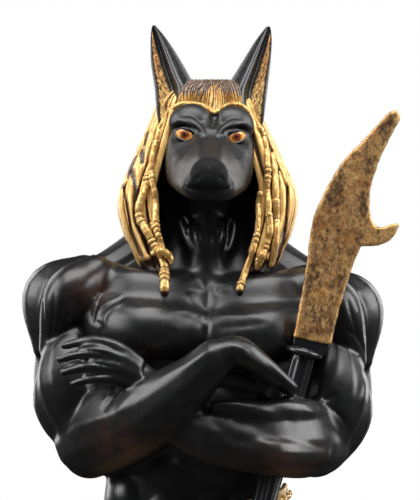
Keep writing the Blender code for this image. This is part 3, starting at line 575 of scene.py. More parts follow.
# gold cords that hang loose in front: points with a radius at each, the shares of their length that carry
# a ring, and whether their end is dark
CORDS = [
    ([(-11.2, -10.6, 254.0, 0.60), (-11.3, -10.6, 252.0, 0.66), (-12.1, -10.8, 249.0, 0.75),
      (-12.9, -11.6, 244.9, 0.78), (-12.9, -12.3, 241.6, 0.86), (-12.7, -12.9, 239.1, 0.80),
      (-12.1, -13.4, 236.7, 0.82), (-11.9, -14.0, 233.6, 0.85), (-11.9, -14.6, 230.6, 0.85),
      (-11.6, -15.0, 228.2, 0.85), (-11.4, -15.3, 226.6, 0.75)], (0.16, 0.44, 0.49, 0.93), False),
    ([(-13.9, -13.5, 242.0, 0.60), (-14.2, -13.8, 240.8, 0.85), (-14.2, -14.3, 238.7, 0.90),
      (-15.2, -14.9, 235.9, 1.00), (-15.9, -15.3, 233.5, 1.05), (-15.8, -15.9, 230.5, 1.05),
      (-14.7, -16.3, 228.4, 1.05), (-13.5, -16.6, 226.2, 1.05), (-12.6, -16.9, 224.5, 1.00),
      (-11.2, -17.3, 222.4, 0.95), (-9.7, -17.4, 221.9, 0.95), (-8.5, -17.5, 220.8, 0.90),
      (-8.1, -17.7, 219.8, 0.70), (-8.3, -17.8, 218.9, 0.40)], (0.06, 0.40, 0.46, 0.66, 0.71), False),
    ([(-12.9, -16.3, 229.6, 0.60), (-12.1, -16.7, 227.7, 0.70), (-11.2, -17.0, 226.1, 0.70),
      (-10.4, -17.2, 224.7, 0.50)], (0.3, 0.7), False),
    ([(-11.4, -16.9, 222.3, 0.60), (-10.4, -17.2, 220.2, 0.80), (-9.7, -17.5, 218.5, 0.95),
      (-9.7, -17.8, 216.7, 1.10), (-9.6, -18.0, 214.6, 1.15), (-9.6, -18.3, 212.5, 1.10),
      (-9.6, -18.4, 211.1, 0.85)], (0.44, 0.56, 0.66), True),
    ([(13.2, -11.3, 254.9, 0.55), (14.2, -11.3, 252.8, 0.70), (15.0, -11.3, 250.7, 0.70),
      (15.5, -11.8, 247.3, 0.75), (15.7, -12.6, 243.7, 0.80), (15.9, -12.9, 241.8, 0.80),
      (15.7, -13.3, 240.3, 0.85), (15.6, -13.9, 237.8, 0.85), (15.9, -14.5, 235.1, 0.85),
      (16.0, -15.1, 231.8, 0.85), (16.3, -15.5, 229.0, 0.85), (16.2, -16.0, 226.6, 0.85),
      (15.5, -16.4, 224.2, 0.85), (14.8, -16.7, 222.0, 0.85), (13.9, -16.9, 220.7, 1.30),
      (13.4, -17.1, 219.3, 1.00), (12.7, -17.4, 217.6, 0.35)], (0.09, 0.34, 0.38, 0.62, 0.83), False),
    ([(14.0, -14.5, 237.5, 0.70), (13.8, -14.8, 236.1, 0.75), (13.5, -15.1, 234.1, 0.75),
      (13.5, -15.7, 231.1, 0.72), (13.3, -16.2, 228.1, 0.72), (13.0, -16.6, 226.0, 0.75),
      (12.3, -17.0, 223.2, 0.72), (11.4, -17.5, 220.5, 0.72), (10.3, -17.9, 217.5, 0.78),
      (9.4, -18.3, 214.8, 0.85), (8.8, -18.5, 212.7, 0.95), (8.6, -18.7, 211.4, 0.75)],
     (0.03, 0.42, 0.47, 0.90), True),
    ([(16.9, -11.4, 247.5, 0.6), (17.6, -12.8, 241.0, 0.85), (17.8, -13.8, 234.0, 0.9),
      (17.9, -14.6, 227.5, 0.85), (17.2, -15.2, 221.5, 0.85), (16.4, -15.4, 218.4, 0.6)], (0.45, 0.62),
     False),
]


class Ropes:
    """Cords as plain tubes with painted shade in their rings and along their backs."""

    def __init__(self):
        self.points, self.faces, self.painted_shade = [], [], []

    def add(self, rows, rings=(), dark_end=False, around=20):
        rows = np.array(rows, float)
        way = np.gradient(rows[:, :3], axis=0)
        way /= np.linalg.norm(way, axis=1)[:, None]
        aside = np.cross(way, (0, 1, 0))
        aside /= np.linalg.norm(aside, axis=1)[:, None]
        front = np.cross(aside, way)
        front *= np.where(front[:, 1:2] > 0, -1, 1)
        walked = np.concatenate([[0], np.cumsum(np.linalg.norm(np.diff(rows[:, :3], axis=0), axis=1))])
        total = walked[-1]
        radius = rows[:, 3] * (1 + 0.05 * np.sin(1.9 * walked + total) + 0.03 * np.sin(4.7 * walked))
        painted_shade = np.zeros(len(rows))
        # painted shade in the narrow grooves beside each ring
        for share in rings:
            gap = np.abs(walked - share * total)
            radius *= 1 + 0.14 * np.clip(1.6 - 3.2 * gap, 0, 1) - 0.10 * np.exp(-((gap - 0.62) / 0.16) ** 2)
            painted_shade = np.maximum(painted_shade, np.exp(-((gap - 0.62) / 0.16) ** 2))
        if dark_end:
            painted_shade = np.maximum(painted_shade, np.clip((walked - total + 1.3) / 0.5, 0, 1))
        ends = np.minimum(walked, total - walked) / radius
        radius = radius * np.sqrt(np.clip(1 - (1 - np.clip(ends, 0, 1)) ** 2, 0.01, 1))
        start = len(self.points)
        for k in range(len(rows)):
            for j in range(around):
                angle = 2 * math.pi * j / around
                out = aside[k] * math.cos(angle) + front[k] * math.sin(angle)
                self.points.append(rows[k, :3] + out * radius[k])
                # painted shade along the back of the cord, which faces the headdress or the body
                self.painted_shade.append(max(painted_shade[k], min(max(0.45 - 1.6 * math.sin(angle), 0), 1)))
        for k in range(len(rows) - 1):
            for j in range(around):
                a, b = start + k * around + j, start + k * around + (j + 1) % around
                self.faces.append((a, b, b + around, a + around))
        self.faces.append(tuple(start + j for j in range(around))[::-1])
        self.faces.append(tuple(start + (len(rows) - 1) * around + j for j in range(around)))

    def mesh(self):
        mesh = bpy.data.meshes.new("ropes")
        mesh.from_pydata((np.array(self.points) * MM).tolist(), [], self.faces)
        mesh.update()
        store(mesh, "painted_shade", self.painted_shade)
        return face_outward(mesh)


# the band over the forehead in x and z, from the viewer's left to right, with its peak in the middle
BAND = [(-11.1, 252.4), (-10.9, 253.6), (-10.1, 255.3), (-8.7, 257.6), (-6.7, 258.9), (-4.4, 259.5),
        (-2.4, 259.5), (-0.4, 259.1), (1.2, 258.1), (2.8, 256.9), (4.2, 258.1), (5.5, 259.0), (7.3, 259.4),
        (9.4, 258.8), (11.3, 257.2), (13.0, 255.0), (14.2, 253.2), (14.6, 252.0)]
CAP_FROM, CAP_TO = 4, 13


def laid(rows, trees, sink, slack=3.5):
    """A path laid on what lies behind it, its middle sunk by this share of its radius above the surface."""
    rows = np.array(rows, float)
    for row in rows:
        nearest = row[1] + slack
        for tree in trees:
            hit, _, _, _ = tree.ray_cast(Vector((row[0], -200, row[2])), Vector((0, 1, 0)))
            if hit is not None:
                nearest = min(nearest, hit.y)
        row[1] = max(nearest - sink * row[3], row[1] - slack)
    for _ in range(8):
        rows[1:-1, 1] = (rows[:-2, 1] + 2 * rows[1:-1, 1] + rows[2:, 1]) / 4
    return rows


def cap_of_fur(path):
    """Fur between the ears: combed strands that run from the band up to the headdress."""
    lower = path[CAP_FROM * 6:CAP_TO * 6 + 1, :3]
    along, upward = 420, 80
    shares = np.linspace(0, 1, along)
    knots = np.linspace(0, 1, len(lower))
    foot = np.stack([np.interp(shares, knots, lower[:, k]) for k in range(3)], axis=1)
    crest = np.stack([-3.6 + 10.9 * shares, -5.2 - 0.8 * np.sin(math.pi * shares), 265.9 - 0 * shares],
                     axis=1)
    # the middle strands fan out of the peak
    bulge = (foot + crest) / 2 + np.stack([1.2 * (2 * shares - 1), -3.4 + 0 * shares, 1.5 + 0 * shares],
                                          axis=1)
    t = np.linspace(0, 1, upward)[:, None, None]
    surface = (1 - t) ** 2 * foot + 2 * t * (1 - t) * bulge + t ** 2 * crest
    up, side = np.meshgrid(np.linspace(0, 1, upward), shares, indexing="ij")
    # strands of uneven width that end in overlapping tiers
    phase = 27 * side + 1.1 * np.sin(2.2 * up + 7 * side) + 0.35 * np.sin(31 * side)
    strand = np.abs(np.sin(math.pi * phase))
    tier = (3 * up + 0.37 * np.floor(phase) * 1.7 + 0.2 * np.sin(7 * side)) % 1
    lift = 0.34 * strand ** 0.7 + 0.20 * (1 - tier)
    rim = np.exp(-(up * 14) ** 2)
    lift = lift * (1 - rim) + 0.3 * rim
    push = np.array([0, -0.72, 0.69])
    surface = surface + (lift - 0.25)[:, :, None] * push
    # painted shade between the strands and under the edge of each tier, and evenly on the back side
    painted_shade = (np.clip(1.5 - 2.6 * strand, 0, 1) * np.clip(0.45 + 1.6 * up, 0, 1)
            + 0.25 * np.clip(tier * 2 - 1.0, 0, 1))
    painted_shade = np.clip(painted_shade * (1 - rim), 0, 1)
    back = surface + np.array([0, 3.0, -1.2])
    back[0] = surface[0] + np.array([0, 2.0, 0.2])
    points = np.concatenate([surface.reshape(-1, 3), back.reshape(-1, 3)])
    many = along * upward
    faces = []
    for j in range(upward - 1):
        for k in range(along - 1):
            a = j * along + k
            faces.append((a, a + 1, a + along + 1, a + along))
            faces.append((a + many, a + many + along, a + many + along + 1, a + many + 1))
    border = ([k for k in range(along)] + [j * along + along - 1 for j in range(1, upward)]
              + [(upward - 1) * along + k for k in range(along - 2, -1, -1)]
              + [j * along for j in range(upward - 2, 0, -1)])
    for a, b in zip(border, border[1:] + border[:1]):
        faces.append((b, a, a + many, b + many))
    mesh = bpy.data.meshes.new("crown_fur")
    mesh.from_pydata((points * MM).tolist(), [], faces)
    mesh.update()
    store(mesh, "painted_shade", np.concatenate([painted_shade.ravel(), np.full(many, 0.4)]))
    store(mesh, "height", np.concatenate([up.ravel(), np.ones(many)]))
    return mesh


def legs(clay):
    """Strong bare legs, a little apart, with their feet turned out."""
    for s in (-1, 1):
        clay.belly([(s * 11 - 1, 1, 136), (s * 14 - 0.5, -1, 114), (s * 15.5, -1, 92), (s * 16, -1.5, 80)],
                   [(12.5, 15), (12.6, 14.4), (10.6, 11.5), (8.8, 9)], side=(1, 0, 0))
        clay.tube([(s * 20, -5, 108), (s * 19.6, -7, 95), (s * 18, -6.5, 86)], [5.5, 5.4, 3.0])
        clay.tube([(s * 13, -6, 104), (s * 12.4, -7.5, 92), (s * 13.2, -6.5, 85)], [5, 4.6, 3.2])
        clay.ball((s * 16, -7.2, 80.5), (5.0, 3.8, 5.6))
        clay.tube([(s * 16, 0, 78), (s * 16.6, 2.6, 62), (s * 17, 2.5, 42), (s * 17.2, 2.5, 22)],
                  [8.4, 9.2, 6.6, 5.4])
        clay.tube([(s * 12.2, 2.5, 74), (s * 11.4, 5.5, 61), (s * 14.6, 3.5, 44)], [4.2, 6.0, 2.8])
        clay.tube([(s * 20.6, 2.5, 74), (s * 21.8, 4, 63), (s * 19.2, 3, 45)], [4.0, 5.2, 2.8])
        clay.tube([(s * 16, -7.5, 74), (s * 16.2, -5.4, 50), (s * 17, -2.6, 26)], [2.8, 2.8, 2.2])
        # foot, ankle bones and toes
        clay.belly([(s * 16.8, 9.5, 18), (s * 17.3, 1, 20), (s * 18.4, -11, 17.4), (s * 19.6, -20, 15)],
                   [(5.4, 6.0), (6.2, 8.0), (7.6, 5.4), (8.2, 3.2)], side=(1, 0, 0))
        for side in (-1, 1):
            clay.ball((s * 17.2 + side * 4.7, 3, 24), (2.4, 2.8, 2.8))
        for k, radius in enumerate((2.8, 2.2, 2.0, 1.9, 1.8)):
            x, y = s * (14.2 + 3.0 * k), -25.5 + 1.5 * k
            clay.tube([(x - s * 0.6, y + 6, 15.0), (x, y, 14.4)], [radius, radius], steps=2)


def kilt(clay):
    """A pleated kilt, its pleats folded one way."""
    rings = []
    rows = [(160, -2.9, 0.5, 21.8, 15.6), (152, -2.8, 0.5, 24.0, 17.8), (140, -2.2, 0.5, 26.6, 19.8),
            (120, -1.2, 0.5, 29.2, 21.5), (103, -0.4, 0.5, 30.8, 22.8), (97, 0, 0.5, 31.2, 23.2)]
    around = KILT_PLEATS * 10
    for z, x, y, half_width, half_depth in smooth_rows(rows, 6)[::-1]:
        ring = []
        fold = 0.25 + 0.75 * (160 - z) / 63
        for k in range(around):
            angle = 2 * math.pi * k / around
            phase = (KILT_PLEATS * k / around) % 1
            pleat = 1.15 * fold * (phase ** 0.8 if phase < 0.86 else (1 - phase) / 0.14) - 0.35 * fold
            c, s = math.cos(angle), math.sin(angle)
            ring.append((x + (half_width + pleat) * math.copysign(abs(c) ** 0.91, c),
                         y + (half_depth + pleat) * math.copysign(abs(s) ** 0.91, s), z))
        rings.append(ring)
    clay.loft(rings)


def hoop(clay, rows, radius, height, tilt, count=72):
    """A band round the hips: rows are the middle x and y and the half width and depth."""
    x0, y0, half_width, half_depth = rows
    points = []
    for k in range(count + 1):
        angle = 2 * math.pi * k / count
        x = x0 + half_width * math.cos(angle)
        points.append((x, y0 + half_depth * math.sin(angle),
                       height + tilt * (x + 3) + 4.5 * (1 - abs(math.sin(angle)))))
    clay.tube(points, [radius] * len(points), steps=1)


def belt(clay):
    hoop(clay, (-2.8, 0.5, 22.6, 17.0), 1.5, 156.2, 0.1)
    hoop(clay, (-2.8, 0.5, 22.9, 17.2), 0.75, 158.2, 0.1)
    hoop(clay, (-2.8, 0.5, 23.3, 17.6), 0.75, 154.0, 0.1)
    for k in range(36):
        angle = 2 * math.pi * k / 36
        x = -2.8 + 24.1 * math.cos(angle)
        z = 156.2 + 0.1 * (x + 3) + 4.5 * (1 - abs(math.sin(angle)))
        clay.ball((x, 0.5 + 18.4 * math.sin(angle), z), (0.8, 0.8, 0.8))


def apron(clay):
    clay.stack([(157, -2.6, -15.4, 4.6, 2.4), (140, -2.2, -19.2, 6, 2.4), (120, -1.2, -21.2, 7.5, 2.4),
                (100, -0.2, -23.2, 9, 2.4)], squareness=5)


def apron_trim(clay):
    """A raised border and level bars on the panel."""
    def edge(z):
        share = (157 - z) / 57
        return (-2.6 + 2.4 * share, np.interp(z, (100, 120, 140, 157), (-25.8, -23.7, -21.7, -17.9)),
                np.interp(z, (100, 120, 140, 157), (8.4, 6.9, 5.4, 4.0)))
    for s in (-1, 1):
        points = []
        for z in np.linspace(153, 101.2, 14):
            x, y, half = edge(z)
            points.append((x + s * half, y + 0.5, z))
        clay.tube(points, [0.65] * len(points), steps=2)
    for z in [101.2] + list(np.linspace(106, 148, 8)):
        x, y, half = edge(z)
        clay.tube([(x - half, y + 0.5, z), (x, y - 0.15, z - 1.2), (x + half, y + 0.5, z)],
                  [0.5] * 3, steps=3)


def rail(mesh_rows, width, depth, corner, steps=6):
    """Rings of a rounded rectangle: rows are height and how far it draws in."""
    rings = []
    for z, inset in mesh_rows:
        half_x, half_y = width / 2 - inset, depth / 2 - inset
        ring = []
        for cx, cy, start in ((1, 1, 0), (-1, 1, 90), (-1, -1, 180), (1, -1, 270)):
            for k in range(steps + 1):
                angle = math.radians(start + 90 * k / steps)
                ring.append((cx * (half_x - corner) + corner * math.cos(angle),
                             cy * (half_y - corner) + corner * math.sin(angle), z))
        rings.append(ring)
    return rings


class Skin:
    """A mesh held as arrays in units of MM, for carving and for painting its hollows."""

    def __init__(self, mesh):
        self.mesh = mesh
        self.count = len(mesh.vertices)
        self.points = self.read(mesh.vertices, "co") / MM
        self.edges = np.empty(2 * len(mesh.edges), np.int32)
        mesh.edges.foreach_get("vertices", self.edges)
        self.edges = self.edges.reshape(-1, 2)
        self.degree = np.bincount(self.edges.ravel(), minlength=self.count)
        self.normals = self.read(mesh.vertices, "normal")
        self.tree = BVHTree.FromPolygons(self.points.tolist(),
                                         [tuple(face.vertices) for face in mesh.polygons])

    def read(self, items, field):
        values = np.empty(3 * len(items), np.float32)
        items.foreach_get(field, values)
        return values.reshape(-1, 3).astype(float)

    def average(self, values):
        """Each point's neighbours, averaged."""
        a, b = self.edges.T
        total = [np.bincount(a, values[b, k], self.count) + np.bincount(b, values[a, k], self.count)
                 for k in range(3)]
        return np.array(total).T / self.degree[:, None]

    def cast(self, points, way):
        """The path through these (x, z), laid on the surface seen from the front (way 1) or the back (-1)."""
        path, facing = [], []
        for x, z in smooth_rows(points, 8) if len(points) > 1 else points:
            hit, normal, _, _ = self.tree.ray_cast(Vector((x, -200 * way, z)), Vector((0, way, 0)))
            if hit is not None:
                path.append(tuple(hit))
                facing.append(tuple(normal))
        return np.array(path), np.array(facing)

    def stroke(self, points, depth, width, way=1, crisp=False, fade=0.3):
        """Presses a groove along a path, or raises a ridge where the depth is negative."""
        path, facing = self.cast(points, way)
        if len(path) == 0:
            return
        reach = 4 * width if crisp else 2.6 * width
        near = np.where(((self.points > path.min(0) - reach) & (self.points < path.max(0) + reach)).all(1))[0]
        here = self.points[near]
        best, along, facing_here = np.full(len(near), 1e9), np.zeros(len(near)), np.zeros((len(near), 3))
        if len(path) == 1:
            best, along[:], facing_here[:] = np.linalg.norm(here - path[0], axis=1), 0.5, facing[0]
        for k in range(len(path) - 1):
            span = path[k + 1] - path[k]
            if np.linalg.norm(span) > 6:
                continue
            share = np.clip((here - path[k]) @ span / max(span @ span, 1e-9), 0, 1)
            gap = np.linalg.norm(here - path[k] - share[:, None] * span, axis=1)
            closer = gap < best
            best[closer], along[closer] = gap[closer], (k + share[closer]) / (len(path) - 1)
            facing_here[closer] = facing[k]
        form = np.exp(-1.5 * best / width) if crisp else np.exp(-(best / width) ** 2)
        ends = np.clip(np.minimum(along, 1 - along) / max(fade, 1e-6), 0, 1) ** 0.8
        front = np.clip(2.0 * (self.normals[near] * facing_here).sum(1) + 0.3, 0, 1)
        self.points[near] -= self.normals[near] * (depth * form * ends * front)[:, None]

    def relax(self, centre, reach, rounds):
        """Melts the forms within an ellipsoid into each other."""
        share = 1.6 * np.exp(-(((self.points - np.array(centre)) / reach) ** 2).sum(1))
        share = np.clip(share, 0, 1)[:, None]
        for _ in range(rounds):
            self.points += share * (self.average(self.points) - self.points)

    def settle(self):
        """Writes the carved points back."""
        self.mesh.vertices.foreach_set("co", (self.points * MM).ravel().astype(np.float32))
        self.mesh.update()
        self.normals = self.read(self.mesh.vertices, "normal")

    def hollows(self, rounds):
        """How far each point lies below its surroundings."""
        soft = self.points
        for _ in range(rounds):
            soft = self.average(soft)
        return ((soft - self.points) * self.normals).sum(1)


def applied(obj):
    """The object's mesh with its modifiers applied; the object goes."""
    graph = bpy.context.evaluated_depsgraph_get()
    mesh = bpy.data.meshes.new_from_object(obj.evaluated_get(graph))
    bpy.data.objects.remove(obj)
    return mesh


def fused(mesh, voxel, smoothing):
    """A heap of shapes or a plate as one even skin: fused by voxels, then softened."""
    heap = link(bpy.data.objects.new("heap", mesh))
    fuse = heap.modifiers.new("fuse", "REMESH")
    fuse.mode = "VOXEL"
    fuse.voxel_size = voxel * MM
    heap.modifiers.new("soften", "SMOOTH").iterations = smoothing
    return applied(heap)


def thinned(mesh, most):
    """The mesh with at most this many triangles."""
    triangles = sum(len(face.vertices) - 2 for face in mesh.polygons)
    if triangles <= most:
        return mesh
    carrier = link(bpy.data.objects.new("thin", mesh))
    thin = carrier.modifiers.new("thin", "DECIMATE")
    thin.ratio = most / triangles
    return applied(carrier)


def groove_shade_and_ridge_highlight(mesh, fine, broad, rounds):
    """Stores painted light from how deep each point sits: painted shade from 0 to 1 in the grooves, a painted
    highlight from 0 to 1 on the edges.
    """
    skin = Skin(mesh)
    depth = skin.hollows(rounds)
    wide = skin.hollows(rounds * 4)
    store(mesh, "painted_shade", np.clip(depth / fine, 0, 1) * 0.7 + np.clip(wide / broad, 0, 1) * 0.5)
    store(mesh, "painted_highlight", np.clip(-depth / fine, 0, 1))


def dress(name, mesh, paint, node):
    """A finished piece of the statue."""
    mesh.name = name
    mesh.shade_smooth()
    mesh.materials.clear()
    mesh.materials.append(paint)
    piece = link(bpy.data.objects.new(name, mesh))
    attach(piece, "root")
    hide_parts(node)


class Paint:
    """Builds a node material around one Principled surface."""

    def __init__(self, name, metallic=0.0, coat=0.0):
        self.material = bpy.data.materials.new(name)
        self.material.use_nodes = True
        self.tree = self.material.node_tree
        self.surface = self.tree.nodes["Principled BSDF"]
        self.surface.inputs["Metallic"].default_value = metallic
        self.surface.inputs["Coat Weight"].default_value = coat
        self.surface.inputs["Coat Roughness"].default_value = 0.25
        self.place = self.tree.nodes.new("ShaderNodeTexCoord").outputs["Object"]

    def feed(self, socket, value):
        """Links another socket to this one, or sets it to a number, a vector or a colour."""
        if isinstance(value, bpy.types.NodeSocket):
            self.tree.links.new(value, socket)
        else:
            socket.default_value = (*value, 1) if socket.type == "RGBA" else value

    def node(self, kind, inputs=(), **settings):
        node = self.tree.nodes.new(kind)
        for field, value in settings.items():
            setattr(node, field, value)
        for key, value in dict(inputs).items():
            self.feed(node.inputs[key], value)
        return node

    def noise(self, size, detail=4.0, stretch=(1, 1, 1), rough=0.55):
        """Noise with patches of about this size in units of MM."""
        place = self.place
        if stretch != (1, 1, 1):
            place = self.node("ShaderNodeMapping", {"Vector": place, "Scale": stretch}).outputs[0]
        return self.node("ShaderNodeTexNoise", {"Vector": place, "Scale": 1 / (size * MM), "Detail": detail,
                                                "Roughness": rough}).outputs["Fac"]

    def ramp(self, value, low, high, start=0.0, stop=1.0):
        return self.node("ShaderNodeMapRange", {"Value": value, "From Min": low, "From Max": high,
                                                "To Min": start, "To Max": stop}).outputs[0]

    def attribute(self, name):
        return self.node("ShaderNodeAttribute", attribute_name=name).outputs["Fac"]

    def sums(self, operation, a, b):
        return self.node("ShaderNodeMath", {0: a, 1: b}, operation=operation, use_clamp=True).outputs[0]

    def mix(self, share, a, b):
        return self.node("ShaderNodeMix", {0: share, 6: a, 7: b}, data_type="RGBA").outputs[2]

    def put(self, field, value):
        self.feed(self.surface.inputs[field], value)

    def bump(self, height, distance, strength=1.0):
        bump = self.node("ShaderNodeBump", {"Height": height, "Distance": distance * MM,
                                            "Strength": strength})
        self.tree.links.new(bump.outputs[0], self.surface.inputs["Normal"])


def black_resin():
    """Satin black casting with faint painted brown reflections."""
    paint = Paint("black_resin")
    # painted brown reflections, at the patches given for each piece, broken up by noise
    painted_reflection = paint.sums("MULTIPLY", paint.attribute("painted_reflection"), paint.ramp(paint.noise(5.0), 0.35, 0.6))
    tone = paint.mix(paint.ramp(paint.noise(3.0), 0.35, 0.7), (0.006, 0.0062, 0.0066),
                     (0.010, 0.0104, 0.011))
    paint.put("Base Color", paint.mix(painted_reflection, tone, (0.048, 0.016, 0.009)))
    matte = paint.attribute("matte")
    rough = paint.ramp(paint.noise(1.6, 6.0), 0.3, 0.7, 0.28, 0.36)
    paint.put("Roughness", paint.sums("ADD", rough, paint.sums("MULTIPLY", matte, 0.30)))
    paint.put("Specular IOR Level", paint.ramp(matte, 0.3, 1.0, 0.5, 0.10))
    paint.bump(paint.noise(0.9, 3.0), 0.012, 0.4)
    return paint.material


def gloss_black():
    paint = Paint("gloss_black", coat=0.1)
    paint.put("Base Color", paint.mix(paint.noise(4.0), (0.006, 0.006, 0.007), (0.012, 0.012, 0.014)))
    paint.put("Roughness", paint.ramp(paint.noise(2.5, 3.0), 0.3, 0.7, 0.24, 0.32))
    paint.bump(paint.noise(3.0, 2.0), 0.02, 0.5)
    return paint.material


def gold_paint(name="gold_paint"):
    """Pale gold paint with painted shade in the grooves, random brown patches and a painted highlight on the
    ridges.
    """
    paint = Paint(name, metallic=0.35)
    streaks = paint.noise(0.55, 5.0, stretch=(1, 1, 0.14))
    gold = paint.mix(paint.ramp(streaks, 0.35, 0.68), (0.46, 0.22, 0.05), (0.84, 0.57, 0.21))
    # paler on the ridges: a painted highlight
    gold = paint.mix(paint.sums("MULTIPLY", paint.attribute("painted_highlight"), 0.5), gold, (0.95, 0.74, 0.38))
    # painted shade in the grooves, with random brown patches from noise added to it
    painted_shade = paint.sums("ADD", paint.attribute("painted_shade"),
                      paint.ramp(paint.noise(1.5, 5.0, stretch=(1, 1, 0.35)), 0.60, 0.74, 0.0, 0.7))
    paint.put("Base Color", paint.mix(paint.ramp(painted_shade, 0.25, 0.95), gold, (0.040, 0.016, 0.006)))
    paint.put("Roughness", paint.ramp(streaks, 0.3, 0.7, 0.44, 0.32))
    paint.put("Metallic", paint.ramp(painted_shade, 0.2, 0.8, 0.45, 0.0))
    paint.bump(streaks, 0.05, 0.5)
    return paint.material


def fur_paint():
    """Gold at the band and over its peak, grey brown further up."""
    paint = Paint("fur_gold", metallic=0.15)
    x = paint.node("ShaderNodeSeparateXYZ", {"Vector": paint.place}).outputs[0]
    aside = paint.node("ShaderNodeMath", {0: x, 1: 0.0029}, operation="SUBTRACT").outputs[0]
    aside = paint.ramp(paint.sums("ABSOLUTE", aside, 0.0), 0.0010, 0.0042)
    steep = paint.sums("ADD", paint.sums("MULTIPLY", aside, 0.55), 0.45)
    level = paint.sums("MULTIPLY", paint.attribute("height"), steep)
    uneven = paint.ramp(paint.noise(0.9, stretch=(1, 1, 0.25)), 0.3, 0.7, -0.12, 0.12)
    level = paint.sums("ADD", level, uneven)
    brown = paint.mix(paint.ramp(paint.noise(0.7), 0.35, 0.65), (0.10, 0.055, 0.032), (0.26, 0.19, 0.14))
    tone = paint.mix(paint.ramp(level, 0.02, 0.10), (0.86, 0.60, 0.23), (0.62, 0.33, 0.08))
    tone = paint.mix(paint.ramp(level, 0.20, 0.32), tone, brown)
    # painted shade between the strands
    painted_shade = paint.ramp(paint.attribute("painted_shade"), 0.1, 0.8)
    paint.put("Base Color", paint.mix(painted_shade, tone, (0.022, 0.011, 0.006)))
    paint.put("Roughness", 0.48)
    paint.bump(paint.noise(0.3), 0.03, 0.5)
    return paint.material


def ear_fur_paint():
    """Orange gold, brighter towards the root of the ear, over a dark wash."""
    paint = Paint("ear_gold", metallic=0.25)
    z = paint.node("ShaderNodeSeparateXYZ", {"Vector": paint.place}).outputs[2]
    height = paint.ramp(z, 0.258, 0.270)
    orange = paint.mix(paint.ramp(paint.noise(0.8), 0.35, 0.65), (0.26, 0.11, 0.03), (0.66, 0.36, 0.12))
    light = paint.mix(paint.ramp(paint.noise(0.8), 0.35, 0.6), (0.55, 0.30, 0.07), (0.90, 0.66, 0.28))
    tone = paint.mix(height, light, orange)
    dark = paint.ramp(paint.noise(0.45, 4.0, stretch=(1, 1, 0.3)), 0.50, 0.62, 0.0, 0.85)
    paint.put("Base Color", paint.mix(dark, tone, (0.05, 0.02, 0.008)))
    paint.put("Roughness", 0.45)
    return paint.material


def blade_paint():
    """Sponged old gold over dark bronze, with a painted highlight on its edges and ridges."""
    paint = Paint("antique_gold", metallic=0.7)
    clouds = paint.noise(4.0, 4.0, stretch=(1, 1, 0.5))
    blots = paint.noise(0.8, 9.0, rough=0.8, stretch=(1, 1, 0.55))
    specks = paint.noise(0.5, 6.0, rough=0.75)
    level = paint.sums("ADD", blots, paint.ramp(clouds, 0.3, 0.7, -0.13, 0.09))
    gold = paint.mix(paint.ramp(specks, 0.35, 0.65), (0.36, 0.15, 0.04), (0.90, 0.58, 0.23))
    gold = paint.mix(paint.ramp(paint.noise(3.0, 4.0, stretch=(1, 1, 0.6)), 0.48, 0.68, 0.0, 0.7),
                     gold, (0.42, 0.15, 0.03))
    dark = paint.mix(specks, (0.014, 0.009, 0.007), (0.11, 0.05, 0.02))
    # more gold on the edges and ridges: a painted highlight
    share = paint.sums("ADD", paint.ramp(level, 0.38, 0.60),
                       paint.sums("MULTIPLY", paint.attribute("painted_highlight"), 0.45))
    paint.put("Base Color", paint.mix(share, dark, gold))
    paint.put("Roughness", paint.ramp(specks, 0.3, 0.7, 0.55, 0.36))
    paint.put("Metallic", paint.ramp(level, 0.42, 0.60, 0.25, 0.75))
    paint.bump(paint.noise(0.9, 7.0, rough=0.7), 0.10, 0.8)
    return paint.material


def eye_paint():
    """Gold eye with an uneven red-brown iris and a black pupil, told apart by a painted attribute."""
    paint = Paint("eye_amber", coat=0.8)
    out = paint.sums("ADD", paint.attribute("iris"), paint.ramp(paint.noise(0.8), 0.3, 0.7, -0.16, 0.16))
    ring = paint.mix(paint.ramp(out, 0.32, 0.46), (0.006, 0.003, 0.002), (0.17, 0.030, 0.008))
    white = paint.mix(paint.ramp(paint.noise(0.6), 0.35, 0.65), (0.42, 0.14, 0.015), (0.85, 0.45, 0.10))
    paint.put("Base Color", paint.mix(paint.ramp(out, 0.75, 0.98), ring, white))
    paint.put("Roughness", 0.3)
    return paint.material


